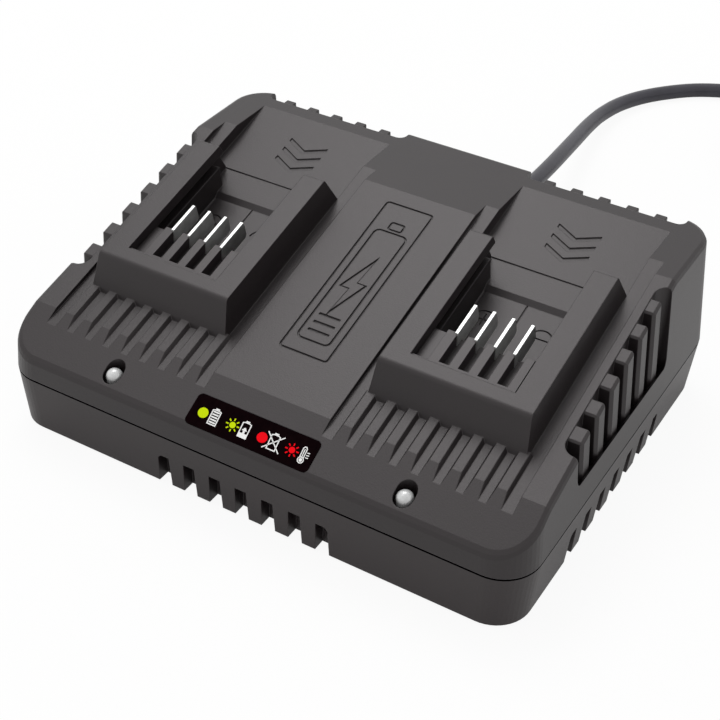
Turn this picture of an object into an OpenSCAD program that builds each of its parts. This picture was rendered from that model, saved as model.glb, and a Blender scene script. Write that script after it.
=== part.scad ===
// Dual-bay charger for slide-on power tool batteries, with a mains lead.
// The case is built in its own frame: front edge at y = 0, underside at z = 0, centred on x.

/* [Case] */
// Width over the parting line
case_w = 222; // [218:1:226]
// Depth over the parting line
case_d = 172; // [170:1:176]
// Height of the parting line above the underside
parting_z = 23.7; // [22:0.1:25]
// Corner radius seen from above
corner_r = 15; // [12:1:18]
// Wall thickness of both housings
wall = 2.5; // [2:0.1:3]
// Inward lean of the upper walls, mm per mm of height
upper_draft = 0.078; // [0.05:0.002:0.08]
// Inset of the underside at the sides and back
lower_inset = 2; // [1:0.1:2.2]
// Inset of the underside at the front
lower_front_inset = 0.9; // [0.5:0.1:1.5]
// Height of the rubber feet below the underside
foot_h = 1.5; // [1:0.1:2.5]

/* [Top surface] */
// Height of the front slope at the front edge
front_z = 32.4; // [31:0.1:34]
// Distance from the front edge to the first change of slope
break1_y = 20.9; // [19:0.1:22]
// Height of the first change of slope
break1_z = 43.4; // [42:0.1:45]
// Distance from the front edge to the level rear part
break2_y = 126; // [122:1:130]
// Height of the level rear part
break2_z = 71.1; // [70:0.1:74]
// Softened edge round the top
edge_r = 1.8; // [1:0.1:2]

/* [Battery bays] */
// Distance between the bay centres
bay_pitch = 123.8; // [122:0.2:125]
// Width of the shallow channel of a bay
channel_w = 74; // [73:0.5:75]
// Where the channel floor meets the front slope
channel_front_y = 14.8; // [14:0.1:16]
// Where the channel floor meets the level rear part
channel_rear_y = 134.6; // [132:0.1:136]
// Locating ribs in each bay
rib_count = 8; // [6:1:8]
// Distance between locating ribs
rib_pitch = 8.56; // [8.2:0.02:8.6]
// Width of a rib at its top
rib_top_w = 3.5; // [3:0.1:4]
// Width of a rib at its foot
rib_foot_w = 5.6; // [5:0.1:6]
// Width of the deep ramp behind a slide frame
ramp_w = 62.3; // [61:0.1:63]
// Where the ramp runs out into the level rear part
ramp_end_y = 155.3; // [153:0.1:156]
// Step from the ramp down to the pocket floor
pocket_step = 1.4; // [1:0.1:2]

/* [Slide frames] */
// Width of a slide frame across its top
frame_w = 59.4; // [58:0.1:60]
// Width of a slide frame at its foot
frame_foot_w = 62.6; // [62:0.1:63]
// Clear width between the arms
frame_in_w = 40.8; // [40:0.1:41.6]
// Width across the undercut grooves
groove_w = 49.8; // [48:0.1:51]
// Height of a groove
groove_h = 4.7; // [4:0.1:5]
// Thickness of the lip above a groove
lip_t = 4.8; // [4:0.1:5.2]
// Height of the frame above the channel at its front
frame_front_h = 14.2; // [13.5:0.1:15]
// Height of the frame above the channel at its rear
frame_rear_h = 13.5; // [13:0.1:14.5]
// Foot of the front wall
frame_foot_y = 35.8; // [35:0.1:37]
// Top edge of the front wall
frame_front_y = 40.3; // [39.5:0.1:41]
// Inner front end of the pocket
pocket_front_y = 46.6; // [46:0.1:48]
// Top of the arms' rear ends
frame_rear_y = 107.3; // [105:0.1:109]
// Foot of the arms' rear ends, on the ramp
arm_foot_y = 117.5; // [116:0.1:119]

/* [Contacts] */
// Distance between contact blades
blade_pitch = 7.55; // [7.4:0.05:7.7]
// Thickness of a contact blade
blade_t = 1.2; // [1:0.1:1.4]
// Width of the slots in the terminal block
slot_w = 4.1; // [3.6:0.1:4.4]
// Rear end of the terminal block's top
block_rear_y = 62.4; // [61:0.1:63]
// Rear end of the blades' top
blade_rear_y = 75.6; // [73:0.1:76]

/* [Vents] */
// Middle of the side vents, from the front edge
vent_y = 82; // [81:0.5:83]
// Length of the side vent recess
side_vent_len = 79.8; // [78:0.1:81]
// Distance between side vent ribs
side_rib_pitch = 12.15; // [12:0.05:12.3]
// Width of a side vent rib
side_rib_w = 6.1; // [5:0.1:6.3]
// Middle of a rear vent, from the centre line
rear_vent_x = 62; // [61:0.5:63]
// Length of a rear vent recess
rear_vent_len = 67.6; // [66:0.1:69]
// Distance between rear vent ribs
rear_rib_pitch = 11.85; // [11.6:0.05:12]
// Width of a rear vent rib
rear_rib_w = 4.7; // [4:0.1:5.2]
// Height of the sill of the upper vents
sill_z = 35.5; // [34:0.1:37]
// Distance between the front notches of the underside
front_notch_pitch = 11.47; // [11:0.01:11.6]
// Distance between the side notches of the underside
side_notch_pitch = 12.4; // [12:0.1:12.6]
// Height of the notches
notch_h = 13.3; // [11:0.1:14]

/* [Mains lead] */
// Diameter of the lead
cord_d = 7.5; // [7:0.1:8]
// Length of the strain relief outside the case
boot_len = 32; // [28:1:36]

/* [Hidden] */
$fn = 48;

eps = 0.01;
over = 5;                       // how far a cut runs past what it cuts
plan_fn = 48;
front_slope = (break1_z - front_z) / break1_y;
mid_slope = (break2_z - break1_z) / (break2_y - break1_y);
roof_t = 4.6;                   // vertical thickness of the roof, so that the channels leave a wall
top_h = 90;                     // above everything on the case
bay_x = bay_pitch / 2;
channel_front_z = front_z + front_slope * channel_front_y;
channel_slope = (break2_z - channel_front_z) / (channel_rear_y - channel_front_y);

function mid_z(y) = break1_z + mid_slope * (y - break1_y);
function front_plane_z(y) = front_z + front_slope * y;
function roof_z(y) = min(front_plane_z(y), mid_z(y), break2_z);
function channel_z(y) = channel_front_z + channel_slope * (y - channel_front_y);
function ramp_z(y) = break2_z - mid_slope * (ramp_end_y - y);
function pocket_z(y) = ramp_z(y) - pocket_step;
frame_front_z = channel_z(frame_front_y) + frame_front_h;
frame_rear_z = channel_z(frame_rear_y) + frame_rear_h;
frame_slope = (frame_rear_z - frame_front_z) / (frame_rear_y - frame_front_y);
function frame_z(y) = frame_front_z + frame_slope * (y - frame_front_y);

function unit(v) = v / norm(v);
// Points of an arc of radius r that rounds the corner b between a and c
function rounded(a, b, c, r, n = 5) =
    let (u = unit(a - b), v = unit(c - b), half = acos(u * v) / 2,
         m = b + unit(u + v) * r / sin(half), s = b + u * r / tan(half), e = b + v * r / tan(half))
    [for (i = [0 : n]) m + r * unit((s - m) * (n - i) + (e - m) * i)];

// ---- helpers ----

module in_case() translate([0, -case_d / 2, foot_h]) children();

// A rounded rectangle, centred
module plan(w, d, r) {
    square([w - 2 * r, d], center = true);
    square([w, d - 2 * r], center = true);
    for (x = [-1, 1], y = [-1, 1])
        translate([x * (w / 2 - r), y * (d / 2 - r)]) circle(r, $fn = plan_fn);
}

// The case outline, drawn in by inset
module case_plan(inset = 0)
    translate([0, case_d / 2]) plan(case_w - 2 * inset, case_d - 2 * inset, corner_r - inset);

// A profile of [y, z] points, extruded across x
module side_profile(w, points)
    rotate([90, 0, 90]) linear_extrude(w, center = true) polygon(points);

// Local z is normal to a slope through [y, z], local y runs up it
module on_slope(x, y, z, slope) translate([x, y, z]) rotate([atan(slope), 0, 0]) children();

module on_front(x, y) on_slope(x, y, front_plane_z(y), front_slope) children();

module both_bays() for (s = [-1, 1]) translate([s * bay_x, 0, 0]) children();

function tangent(p, i) = unit(p[min(i + 1, len(p) - 1)] - p[max(i - 1, 0)]);
// The rings of a tube along the points; no tangent may lie along the axis
function tube_rings(p, r, sides, axis) = [for (i = [0 : len(p) - 1])
    let (t = tangent(p, i), u = unit(cross(t, axis)), v = cross(u, t))
    for (k = [0 : sides - 1]) p[i] + r * (cos(360 * k / sides) * u + sin(360 * k / sides) * v)];
function tube_faces(n, sides) = concat(
    [[for (k = [sides - 1 : -1 : 0]) k], [for (k = [0 : sides - 1]) (n - 1) * sides + k]],
    [for (i = [0 : n - 2], k = [0 : sides - 1])
        let (a = i * sides + k, b = i * sides + (k + 1) % sides)
        each [[a, b, b + sides], [a, b + sides, a + sides]]]
);

// A round lead along the points
module tube(p, d, sides = 10, axis = [0, 0, 1])
    polyhedron(tube_rings(p, d / 2, sides, axis), tube_faces(len(p), sides));

// A thin wire that runs in the y-z plane or nearly so
module wire(p, d) tube(p, d, 8, [1, 0, 0]);

// ---- upper housing ----

// The upper half, inset from the walls and dropped below the roof
module upper_block(inset, drop) {
    h = break2_z - parting_z;
    w = case_w - 2 * inset;
    d = case_d - 2 * inset;
    intersection() {
        translate([0, case_d / 2, parting_z])
            linear_extrude(h, slices = 1,
                           scale = [1 - 2 * upper_draft * h / w, 1 - 2 * upper_draft * h / d])
                plan(w, d, corner_r - inset);
        side_profile(case_w + 2 * over, [
            [-over, parting_z - over], [-over, front_plane_z(-over) - drop],
            [break1_y, break1_z - drop], [break2_y, break2_z - drop],
            [case_d + over, break2_z - drop], [case_d + over, parting_z - over]
        ]);
    }
}

module upper_outer() hull() {
    upper_block(0, edge_r);
    upper_block(edge_r * 0.3, edge_r * 0.3);
    upper_block(edge_r, 0);
}

step_y0 = arm_foot_y - 15;                     // the pocket floor steps up to the ramp here
step_y1 = step_y0 + 2;
rail_end_y = frame_rear_y - 0.8;               // the lower rails end here

// The pocket and ramp floors, lowered by drop, as a block that reaches up through the roof
module pocket_profile(w, drop, front)
    side_profile(w, [
        [front, top_h], [front, pocket_z(front) - drop],
        [step_y0, pocket_z(step_y0) - drop], [step_y1, ramp_z(step_y1) - drop],
        [arm_foot_y, ramp_z(arm_foot_y) - drop], [arm_foot_y, top_h]
    ]);

// The floor between the ends of the lower rails and the ramp
module rail_end_profile(w, drop)
    side_profile(w, [
        [rail_end_y - drop, top_h], [rail_end_y - drop, ramp_z(rail_end_y) - drop],
        [arm_foot_y, ramp_z(arm_foot_y) - drop], [arm_foot_y, top_h]
    ]);

module ramp_profile(w, drop)
    side_profile(w, [
        [frame_rear_y - (top_h - frame_rear_z) * arm_lean, top_h],
        [arm_foot_y, ramp_z(arm_foot_y) - drop],
        [ramp_end_y + drop / mid_slope, break2_z],
        [ramp_end_y + drop / mid_slope, top_h]
    ]);
arm_lean = (arm_foot_y - frame_rear_y) / (frame_rear_z - ramp_z(arm_foot_y));

pad_in = 2.5;                                  // wall left behind a vent recess
side_vent_deep = 8.7;
rear_vent_deep = 10;
side_wall_x = case_w / 2 - side_vent_deep;
rear_wall_y = case_d - rear_vent_deep;
sill_slope = 57;                               // the sill falls inwards, so that a vent looks deep
recess_floor_z = parting_z + 4.5;

module vent_pads() {
    pad_z = recess_floor_z - 2;
    for (s = [-1, 1])
        translate([s * (side_wall_x + 10), vent_y, pad_z + 30])
            cube([20 + 2 * pad_in, side_vent_len + 2 * pad_in, 60], center = true);
    for (s = [-1, 1])
        translate([s * rear_vent_x, rear_wall_y + 10, pad_z + 30])
            cube([rear_vent_len + 2 * pad_in, 20 + 2 * pad_in, 60], center = true);
}

module upper_cavity() {
    tub_t = wall + 0.1;
    difference() {
        translate([0, 0, -1]) upper_block(wall, roof_t - 1);
        both_bays() {
            pocket_profile(frame_in_w + 2 * tub_t, tub_t, pocket_front_y - tub_t);
            ramp_profile(ramp_w + 2 * tub_t, tub_t);
            rail_end_profile(groove_w + 2 * tub_t, tub_t);
        }
        vent_pads();
    }
}

// The shallow channel, with the locating ribs left standing in front of the slide frame
module channel_cut() {
    rib_top_n = 1.7;
    flank = (rib_foot_w - rib_top_w) / 2 / rib_top_n;
    rib_n = 3;
    difference() {
        side_profile(channel_w, [
            [channel_front_y - over, channel_z(channel_front_y - over)], [channel_rear_y, break2_z],
            [channel_rear_y, top_h], [channel_front_y - over, top_h]
        ]);
        for (i = [0 : rib_count - 1])
            on_slope((i - (rib_count - 1) / 2) * rib_pitch, channel_front_y,
                     channel_front_z, channel_slope)
                translate([0, frame_foot_y - channel_front_y + 3, -1]) rotate([90, 0, 0])
                    linear_extrude(40) polygon([
                        [-rib_foot_w / 2, 0], [rib_foot_w / 2, 0], [rib_foot_w / 2, 1],
                        [rib_foot_w / 2 - flank * rib_n, rib_n + 1],
                        [flank * rib_n - rib_foot_w / 2, rib_n + 1], [-rib_foot_w / 2, 1]
                    ]);
    }
}

module slide_frame_block() {
    front_foot = [frame_foot_y, channel_z(frame_foot_y)];
    front_top = [frame_front_y, frame_front_z];
    rear_top = [frame_rear_y, frame_rear_z];
    rear_foot = [arm_foot_y, ramp_z(arm_foot_y)];
    lean = (frame_foot_w - frame_w) / 2 / frame_rear_h;
    above = 18;
    intersection() {
        side_profile(frame_foot_w, concat(
            [front_foot - [0, 1.5], front_foot],
            rounded(front_foot, front_top, rear_top, 2.4),
            rounded(front_top, rear_top, rear_foot, 1),
            [rear_foot, rear_foot - [0, 1.5], [arm_foot_y - 8, channel_z(arm_foot_y - 8) - 1.5]]
        ));
        on_slope(0, frame_foot_y, channel_z(frame_foot_y), channel_slope)
            translate([0, -30, 0]) rotate([90, 0, 0]) mirror([0, 0, 1]) linear_extrude(140) polygon([
                [-frame_foot_w / 2, -6], [frame_foot_w / 2, -6], [frame_foot_w / 2, 0],
                [frame_foot_w / 2 - lean * above, above], [lean * above - frame_foot_w / 2, above],
                [-frame_foot_w / 2, 0]
            ]);
    }
}

module undercut() {
    y0 = block_rear_y;
    y1 = arm_foot_y + over;
    side_profile(groove_w, [
        [y0, frame_z(y0) - lip_t], [y1, frame_z(y1) - lip_t],
        [y1, frame_z(y1) - lip_t - groove_h], [y0, frame_z(y0) - lip_t - groove_h]
    ]);
    y2 = rail_end_y;
    side_profile(groove_w, [
        [y2, frame_z(y2) - lip_t - groove_h + 1], [y2 + 1.6, ramp_z(y2 + 1.6)],
        [y1, ramp_z(y1)], [y1, frame_z(y1) - lip_t - groove_h + 1]
    ]);
}

// Opening in the pocket floor for the foot of the terminal block
foot_y0 = pocket_front_y + 4.4;
foot_d = 8;
foot_w = 34;
module block_opening() translate([-foot_w / 2, foot_y0, 20]) cube([foot_w, foot_d, 40]);

// Fine lines moulded into the pocket floor and across the ramp
line_w = 0.5;
module floor_lines() {
    line_y0 = block_rear_y + 14;
    for (x = [-19.7, -1.9, 16])
        side_profile_at(x, line_w, [
            [line_y0, pocket_z(line_y0) - 0.4], [step_y0, pocket_z(step_y0) - 0.4],
            [step_y0, pocket_z(step_y0) + 1], [line_y0, pocket_z(line_y0) + 1]
        ]);
    side_profile(ramp_w, [
        [arm_foot_y - 0.6, ramp_z(arm_foot_y) - 0.5], [arm_foot_y, ramp_z(arm_foot_y) - 0.5],
        [arm_foot_y, ramp_z(arm_foot_y) + 1], [arm_foot_y - 0.6, ramp_z(arm_foot_y) + 1]
    ]);
}
module side_profile_at(x, w, points) translate([x, 0, 0]) side_profile(w, points);

// Debossed polarity signs on the pocket floor: a plus and a minus, each under an arch
module polarity_signs() {
    y = 90.2;
    ring_r = 4.6;
    bar = 5.8;
    for (x = [-14, 9.5]) on_slope(x, y, pocket_z(y), mid_slope)
        translate([0, 0, -0.6]) linear_extrude(2) {
            difference() {
                circle(ring_r);
                circle(ring_r - line_w);
                translate([-ring_r - 1, -ring_r - 1]) square([2 * ring_r + 2, ring_r + 1]);
            }
            square([bar, line_w], center = true);
            if (x < 0) square([line_w, bar], center = true);
        }
}

// Debossed arrow heads on the ramp, pointing the way a battery slides in
module ramp_arrows() {
    y0 = arm_foot_y + 12;
    for (i = [0 : 2])
        on_slope(0, y0 + i * 5.5, ramp_z(y0 + i * 5.5), mid_slope) translate([0, 0, -0.5])
            linear_extrude(1) polygon([
                [0, -4], [9, 0.5], [9, 2.5], [0, -2], [-9, 2.5], [-9, 0.5]
            ]);
}

// Debossed generic sign on the centre plateau: a battery with a lightning bolt, in a border
module outline(w, d, r, line) difference() {
    plan(w, d, r);
    plan(w - 2 * line, d - 2 * line, r - line);
}

module plateau_sign() {
    y = 80.2;
    line = 0.7;
    on_slope(0, y, mid_z(y), mid_slope) translate([0, 0, -0.6]) linear_extrude(2) {
        outline(21, 81, 1.6, line);
        translate([0, 29]) outline(6.4, 4.4, 1.2, line);
        translate([0, -4]) outline(14.5, 60, 2.6, line);
        translate([0, -4]) difference() {
            polygon(bolt_points(1));
            polygon(bolt_points(0.82));
        }
        for (y = [-29, -25, -21]) translate([0, y]) square([9, 1], center = true);
    }
}
function bolt_points(k) = k * [[2, 17], [-5, -2], [-0.8, -2], [-2, -17], [5, 2], [0.8, 2]];

lens_shift = 0.5;
lens_y = 8.2;
lens_r = 3.2;
lens_top = 1;                                  // height of a lens above the slope round it
lens_hole_r = 3.8;
lens_hole_long = 0.9;                          // half the straight part of a lens hole
lens_hole_deep = 4.8;
lens_boss_r = 6.5;
lens_boss_z = -6.3;                            // underside of the boss round a lens
// Above each lens, on the front slope; z stays upright
module at_lenses() for (s = [-1, 1])
    translate([s * bay_x + lens_shift, lens_y, front_plane_z(lens_y)]) children();

label_w = 52.2;
label_h = 12.6;
label_y = 7.4;
label_recess = 0.3;

// A vent recess in a wall that faces +x, its outer face at x = 0 at the parting line
module vent_recess(length, deep, r) intersection() {
    translate([0, 0, recess_floor_z]) linear_extrude(top_h) {
        translate([r - deep, -length / 2]) square([deep - r + over, length]);
        translate([-deep, r - length / 2]) square([r + 1, length - 2 * r]);
        for (y = [-1, 1]) translate([r - deep, y * (length / 2 - r)]) circle(r, $fn = plan_fn);
    }
    translate([-upper_draft * (sill_z - parting_z), 0, sill_z]) rotate([0, -sill_slope, 0])
        side_profile(100, concat(
            [[length / 2, top_h], [-length / 2, top_h]],
            rounded([-length / 2, top_h], [-length / 2, 0], [length / 2, 0], 2.6),
            rounded([-length / 2, 0], [length / 2, 0], [length / 2, top_h], 2.6)
        ));
}

// A rib across a vent, in the same frame; c0 and c1 are its corner chamfers
module vent_rib(w, inset, c0, c1)
    rotate([0, -atan(upper_draft), 0]) linear_extrude(60) polygon([
        [-14, -w / 2], [-inset - c0, -w / 2], [-inset, c0 - w / 2],
        [-inset, w / 2 - c1], [-inset - c1, w / 2], [-14, w / 2]
    ]);

// What is cut off a rib's top; the origin is on its outer edge, whose chamfer is c0,
// and the edges at -y and +y have chamfers c1 and c2
module rib_top_cut(w, c0, c1, c2) {
    translate([-30, -w, 0]) cube([60, 2 * w, 30]);
    rotate([0, 45, 0]) translate([-10, -w, -c0 / sqrt(2)]) cube([20, 2 * w, 20]);
    for (edge = [[-1, c1], [1, c2]]) if (edge[1] > 0)
        translate([0, edge[0] * w / 2, 0]) rotate([-edge[0] * 45, 0, 0])
            translate([-15, -10, -edge[1] / sqrt(2)]) cube([30, 20, 20]);
}

side_rib_in = 1.1;
rear_rib_in = 2.7;
rib_drop = 0.4;                                // how far a rib stays below the top surface

module side_ribs() {
    count = 6;
    for (i = [0 : count - 1]) {
        y = vent_y - 0.6 + (i - (count - 1) / 2) * side_rib_pitch;
        z = roof_z(y) - rib_drop;
        difference() {
            translate([case_w / 2, y, parting_z]) vent_rib(side_rib_w, side_rib_in, 1.1, 0.3);
            on_slope(case_w / 2 - side_rib_in - upper_draft * (z - parting_z), y, z, mid_slope)
                rib_top_cut(side_rib_w, 0.9, 0.45, 0);
        }
    }
}

module rear_ribs() {
    count = 5;
    z = break2_z - rib_drop;
    for (i = [0 : count - 1])
        translate([rear_vent_x + (i - (count - 1) / 2) * rear_rib_pitch, case_d, 0])
            rotate([0, 0, 90]) difference() {
                translate([0, 0, parting_z]) vent_rib(rear_rib_w, rear_rib_in, 0.45, 0.45);
                translate([-rear_rib_in - upper_draft * (z - parting_z), 0, z])
                    rib_top_cut(rear_rib_w, 0.3, 0.3, 0.3);
            }
}

module side_vent() difference() {
    translate([case_w / 2, vent_y, 0]) vent_recess(side_vent_len, side_vent_deep, 4.9);
    side_ribs();
}

module rear_vent() difference() {
    translate([rear_vent_x, case_d, 0]) rotate([0, 0, 90])
        vent_recess(rear_vent_len, rear_vent_deep, 3.5);
    rear_ribs();
}

// Air slots through the wall behind the ribs
module vent_slots() {
    slot_open = 4.6;
    z0 = recess_floor_z + 1.5;
    below_top = 9;
    for (s = [-1, 1], i = [-2 : 2]) {
        y = vent_y - 0.6 + i * side_rib_pitch;
        h = roof_z(y) - below_top - z0;
        translate([s * (side_wall_x - 1), y, z0 + h / 2]) cube([4 * pad_in, slot_open, h], center = true);
    }
    for (s = [-1, 1], i = [-2 : 1]) {
        x = s * (rear_vent_x + (i + 0.5) * rear_rib_pitch);
        h = break2_z - below_top - z0;
        translate([x, rear_wall_y - 1, z0 + h / 2]) cube([slot_open, 4 * pad_in, h], center = true);
    }
}

boss_xy = [for (x = [-1, 1], y = [14, case_d - 18]) [x * (case_w / 2 - 18), y]];
boss_places = concat(boss_xy, [[0, 15]]);
boss_d = 8.6;
screw_d = 3.4;
screw_len = 22;
head_seat_z = 6;
module at_bosses() for (p = boss_places) translate([p.x, p.y, 0]) children();

cord_hole_d = 12;
module cord_hole() translate([0, case_d - 12, parting_z]) rotate([-90, 0, 0])
    cylinder(h = 20, d = cord_hole_d);

module upper_housing() color("#5a5858") in_case() difference() {
    union() {
        difference() {
            upper_outer();
            both_bays() channel_cut();
            upper_cavity();
        }
        both_bays() slide_frame_block();
        intersection() {
            at_lenses() translate([0, 0, lens_boss_z]) cylinder(h = 2 * lens_boss_r, r = lens_boss_r);
            upper_block(1, 1.5);
        }
        at_bosses() translate([0, 0, parting_z])
            cylinder(h = roof_z(14) - roof_t - parting_z + 1, d = boss_d);
        for (x = [-1, 1]) translate([x * (case_w / 2 - 18), case_d - 18, parting_z])
            cylinder(h = break2_z - roof_t - parting_z + 1, d = boss_d);
    }
    both_bays() {
        pocket_profile(frame_in_w, 0, pocket_front_y);
        ramp_profile(ramp_w, 0);
        undercut();
        block_opening();
        floor_lines();
        polarity_signs();
        ramp_arrows();
    }
    plateau_sign();
    at_lenses() {
        translate([0, 0, -lens_hole_deep]) linear_extrude(10) {
            square([2 * lens_hole_r, 2 * lens_hole_long], center = true);
            for (s = [-1, 1]) translate([0, s * lens_hole_long]) circle(lens_hole_r);
        }
        translate([0, 0, -12]) cylinder(h = 12, r = lens_r);
    }
    on_front(0.7, label_y) translate([0, 0, -label_recess]) linear_extrude(over)
        plan(label_w, label_h, 2);
    for (s = [0, 1]) mirror([s, 0, 0]) {
        side_vent();
        rear_vent();
    }
    vent_slots();
    at_bosses() translate([0, 0, parting_z - 1]) cylinder(h = 10.5, d = screw_d + 0.1);
    cord_hole();
}

// ---- lower housing ----

// The tapered tray of the lower half, inset all round, from z0 to z1
module tray(inset, z0, z1) hull() {
    translate([0, 0, z1 - eps]) linear_extrude(eps) case_plan(inset);
    shift = (lower_front_inset - lower_inset) / 2;
    translate([0, case_d / 2 + shift, z0]) linear_extrude(eps)
        plan(case_w - 2 * (inset + lower_inset), case_d - 2 * inset - lower_inset - lower_front_inset,
             corner_r - inset - 1);
}

notch_w = 5.9;
notch_deep = 5;
baffle_t = 2;

// One notch, at the foot of the wall at the origin, facing -y; end is the side with a soft corner
module notch(end = 0) {
    narrow = 0.5;
    top_w = notch_w / 2 - narrow;
    corner = [[-top_w, notch_h], [top_w, notch_h]];
    foot = [[-notch_w / 2, -1], [notch_w / 2, -1]];
    translate([0, notch_deep, 0]) rotate([90, 0, 0]) linear_extrude(notch_deep + over) polygon(concat(
        foot,
        end > 0 ? rounded(foot[1], corner[1], corner[0], 2.2) : [corner[1]],
        end < 0 ? rounded(corner[1], corner[0], foot[0], 2.2) : [corner[0]]
    ));
    translate([-1.3, 0, 4]) cube([3.4, notch_deep + 2 * baffle_t, notch_h - 5.5]);
}

module notch_row(pitch) for (i = [-3 : 3]) translate([i * pitch, 0, 0])
    notch(i == 3 ? 1 : i == -3 ? -1 : 0);

module at_front() translate([-0.5, lower_front_inset, 0]) children();
module at_side(s) translate([s * (case_w / 2 - lower_inset), vent_y + 0.2, 0]) rotate([0, 0, s * 90]) children();

module notch_pads() {
    h = notch_h + 1.5;
    at_front() translate([-3.6 * front_notch_pitch, 0.5, 0.5])
        cube([7.2 * front_notch_pitch, notch_deep + baffle_t, h]);
    for (s = [-1, 1]) at_side(s) translate([-3.6 * side_notch_pitch, 0.5, 0.5])
        cube([7.2 * side_notch_pitch, notch_deep + baffle_t, h]);
}

foot_d_r = 7;
foot_sink = 0.5;
foot_places = [for (x = [-1, 1], y = [22, case_d - 22]) [x * (case_w / 2 - 40), y]];

board_z = 8;
board_t = 1.6;
board_w = case_w - 52;
board_d = case_d - 46;
board_y0 = 22;
board_top = board_z + board_t;
board_holes = [for (x = [-1, 1], y = [5, board_d - 5]) [x * (board_w / 2 - 5), board_y0 + y]];

clamp_y = case_d - 15;
clamp_x = 11;
clamp_post_top = parting_z + cord_d / 2;

// The lip that locates the upper housing, its outside drawn in by inset
lip_foot = 4;
module lip_ring(inset, h) translate([0, 0, parting_z - lip_foot]) linear_extrude(h) difference() {
    case_plan(inset);
    case_plan(wall + 1.6);
}

gap_h = 0.5;                                   // shadow gap at the parting line
gap_deep = 1.3;

module lower_housing() color("#4c4949") in_case() difference() {
    union() {
        difference() {
            tray(0, 0, parting_z);
            tray(wall, wall, parting_z + 1);
        }
        notch_pads();
        difference() {
            union() {
                lip_ring(wall - 0.5, lip_foot);
                lip_ring(wall + 0.3, lip_foot + 2);
            }
            translate([-10, case_d - 10, 0]) cube([20, 20, 40]);
        }
        at_bosses() cylinder(h = parting_z, d = boss_d + 2);
        for (p = board_holes) translate([p.x, p.y, 1]) cylinder(h = board_z - 1, d = 7);
        for (x = [-1, 1]) translate([x * clamp_x, clamp_y, 1]) cylinder(h = clamp_post_top - 1, d = 7.5);
        translate([-6, clamp_y - 4, 1]) cube([12, 8, parting_z - cord_d / 2 - 1]);
    }
    at_front() notch_row(front_notch_pitch);
    for (s = [-1, 1]) at_side(s) notch_row(side_notch_pitch);
    translate([0, 0, parting_z - gap_h]) linear_extrude(1) difference() {
        case_plan(-1);
        case_plan(gap_deep);
    }
    at_bosses() {
        translate([0, 0, -1]) cylinder(h = head_seat_z + 1, d = 7.6);
        translate([0, 0, -1]) cylinder(h = 40, d = screw_d + 0.3);
    }
    for (p = board_holes) translate([p.x, p.y, 3]) cylinder(h = 10, d = 2.6);
    for (x = [-1, 1]) translate([x * clamp_x, clamp_y, 10]) cylinder(h = 30, d = 2.6);
    for (p = foot_places) translate([p.x, p.y, -1]) cylinder(h = 1 + foot_sink, r = foot_d_r + 0.1);
    cord_hole();
}

module rubber_feet() color("#222222") in_case()
    for (p = foot_places) translate([p.x, p.y, -foot_h]) {
        cylinder(h = foot_h + foot_sink, r = foot_d_r);
    }

// A pan-head screw with its head at the origin, pointing up
module screw(d, length, head_d, head_h) difference() {
    union() {
        translate([0, 0, -head_h]) cylinder(h = head_h, d = head_d);
        cylinder(h = length, d = d);
    }
    translate([0, 0, -head_h - 1]) for (a = [0, 60, 120]) rotate([0, 0, a])
        cube([head_d * 0.5, head_d * 0.16, 2 * head_h], center = true);
}

module housing_screws() color("#8c8f93") in_case()
    at_bosses() translate([0, 0, head_seat_z]) screw(screw_d, screw_len, 6.8, 2.6);

// ---- contacts ----

block_top_drop = 0.9;
function block_z(y) = frame_z(y) - block_top_drop;
first_slot_x = -8.1;
function slot_x(i) = first_slot_x + i * blade_pitch;
function blade_x(i) = slot_x(i) - 2.25;        // a blade stands at its slot's left wall
block_gap = [0.1, 0.6];                        // beside the block, on its left and right
block_lip = 0.1;
tail_y0 = foot_y0 + 1.5;
tail_y1 = tail_y0 + 5;
tail_z = pocket_z(foot_y0) - wall - 0.1 - 4.5;

// A blade reaches back over the pocket floor, and its tail goes down through the block's foot
function blade_outline() =
    let (back = blade_rear_y, front = block_rear_y - 0.95, root = block_rear_y + 1.6, h = 8)
    [[tail_y0, tail_z], [tail_y1, tail_z], [tail_y1, frame_z(tail_y1) - 14], [root, frame_z(root) - h],
     [back + 1.1, frame_z(back + 1.1) - h], [back + 1.9, frame_z(back + 1.9) - h + 1],
     [back + 0.6, frame_z(back) - 1.2], [back, frame_z(back) - 0.3], [front, frame_z(front) - 0.3],
     [front - 0.3, block_z(front) - 8], [tail_y0, block_z(tail_y0) - 9]];

module blades() for (i = [0 : 3]) side_profile_at(blade_x(i), blade_t, blade_outline());

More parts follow.
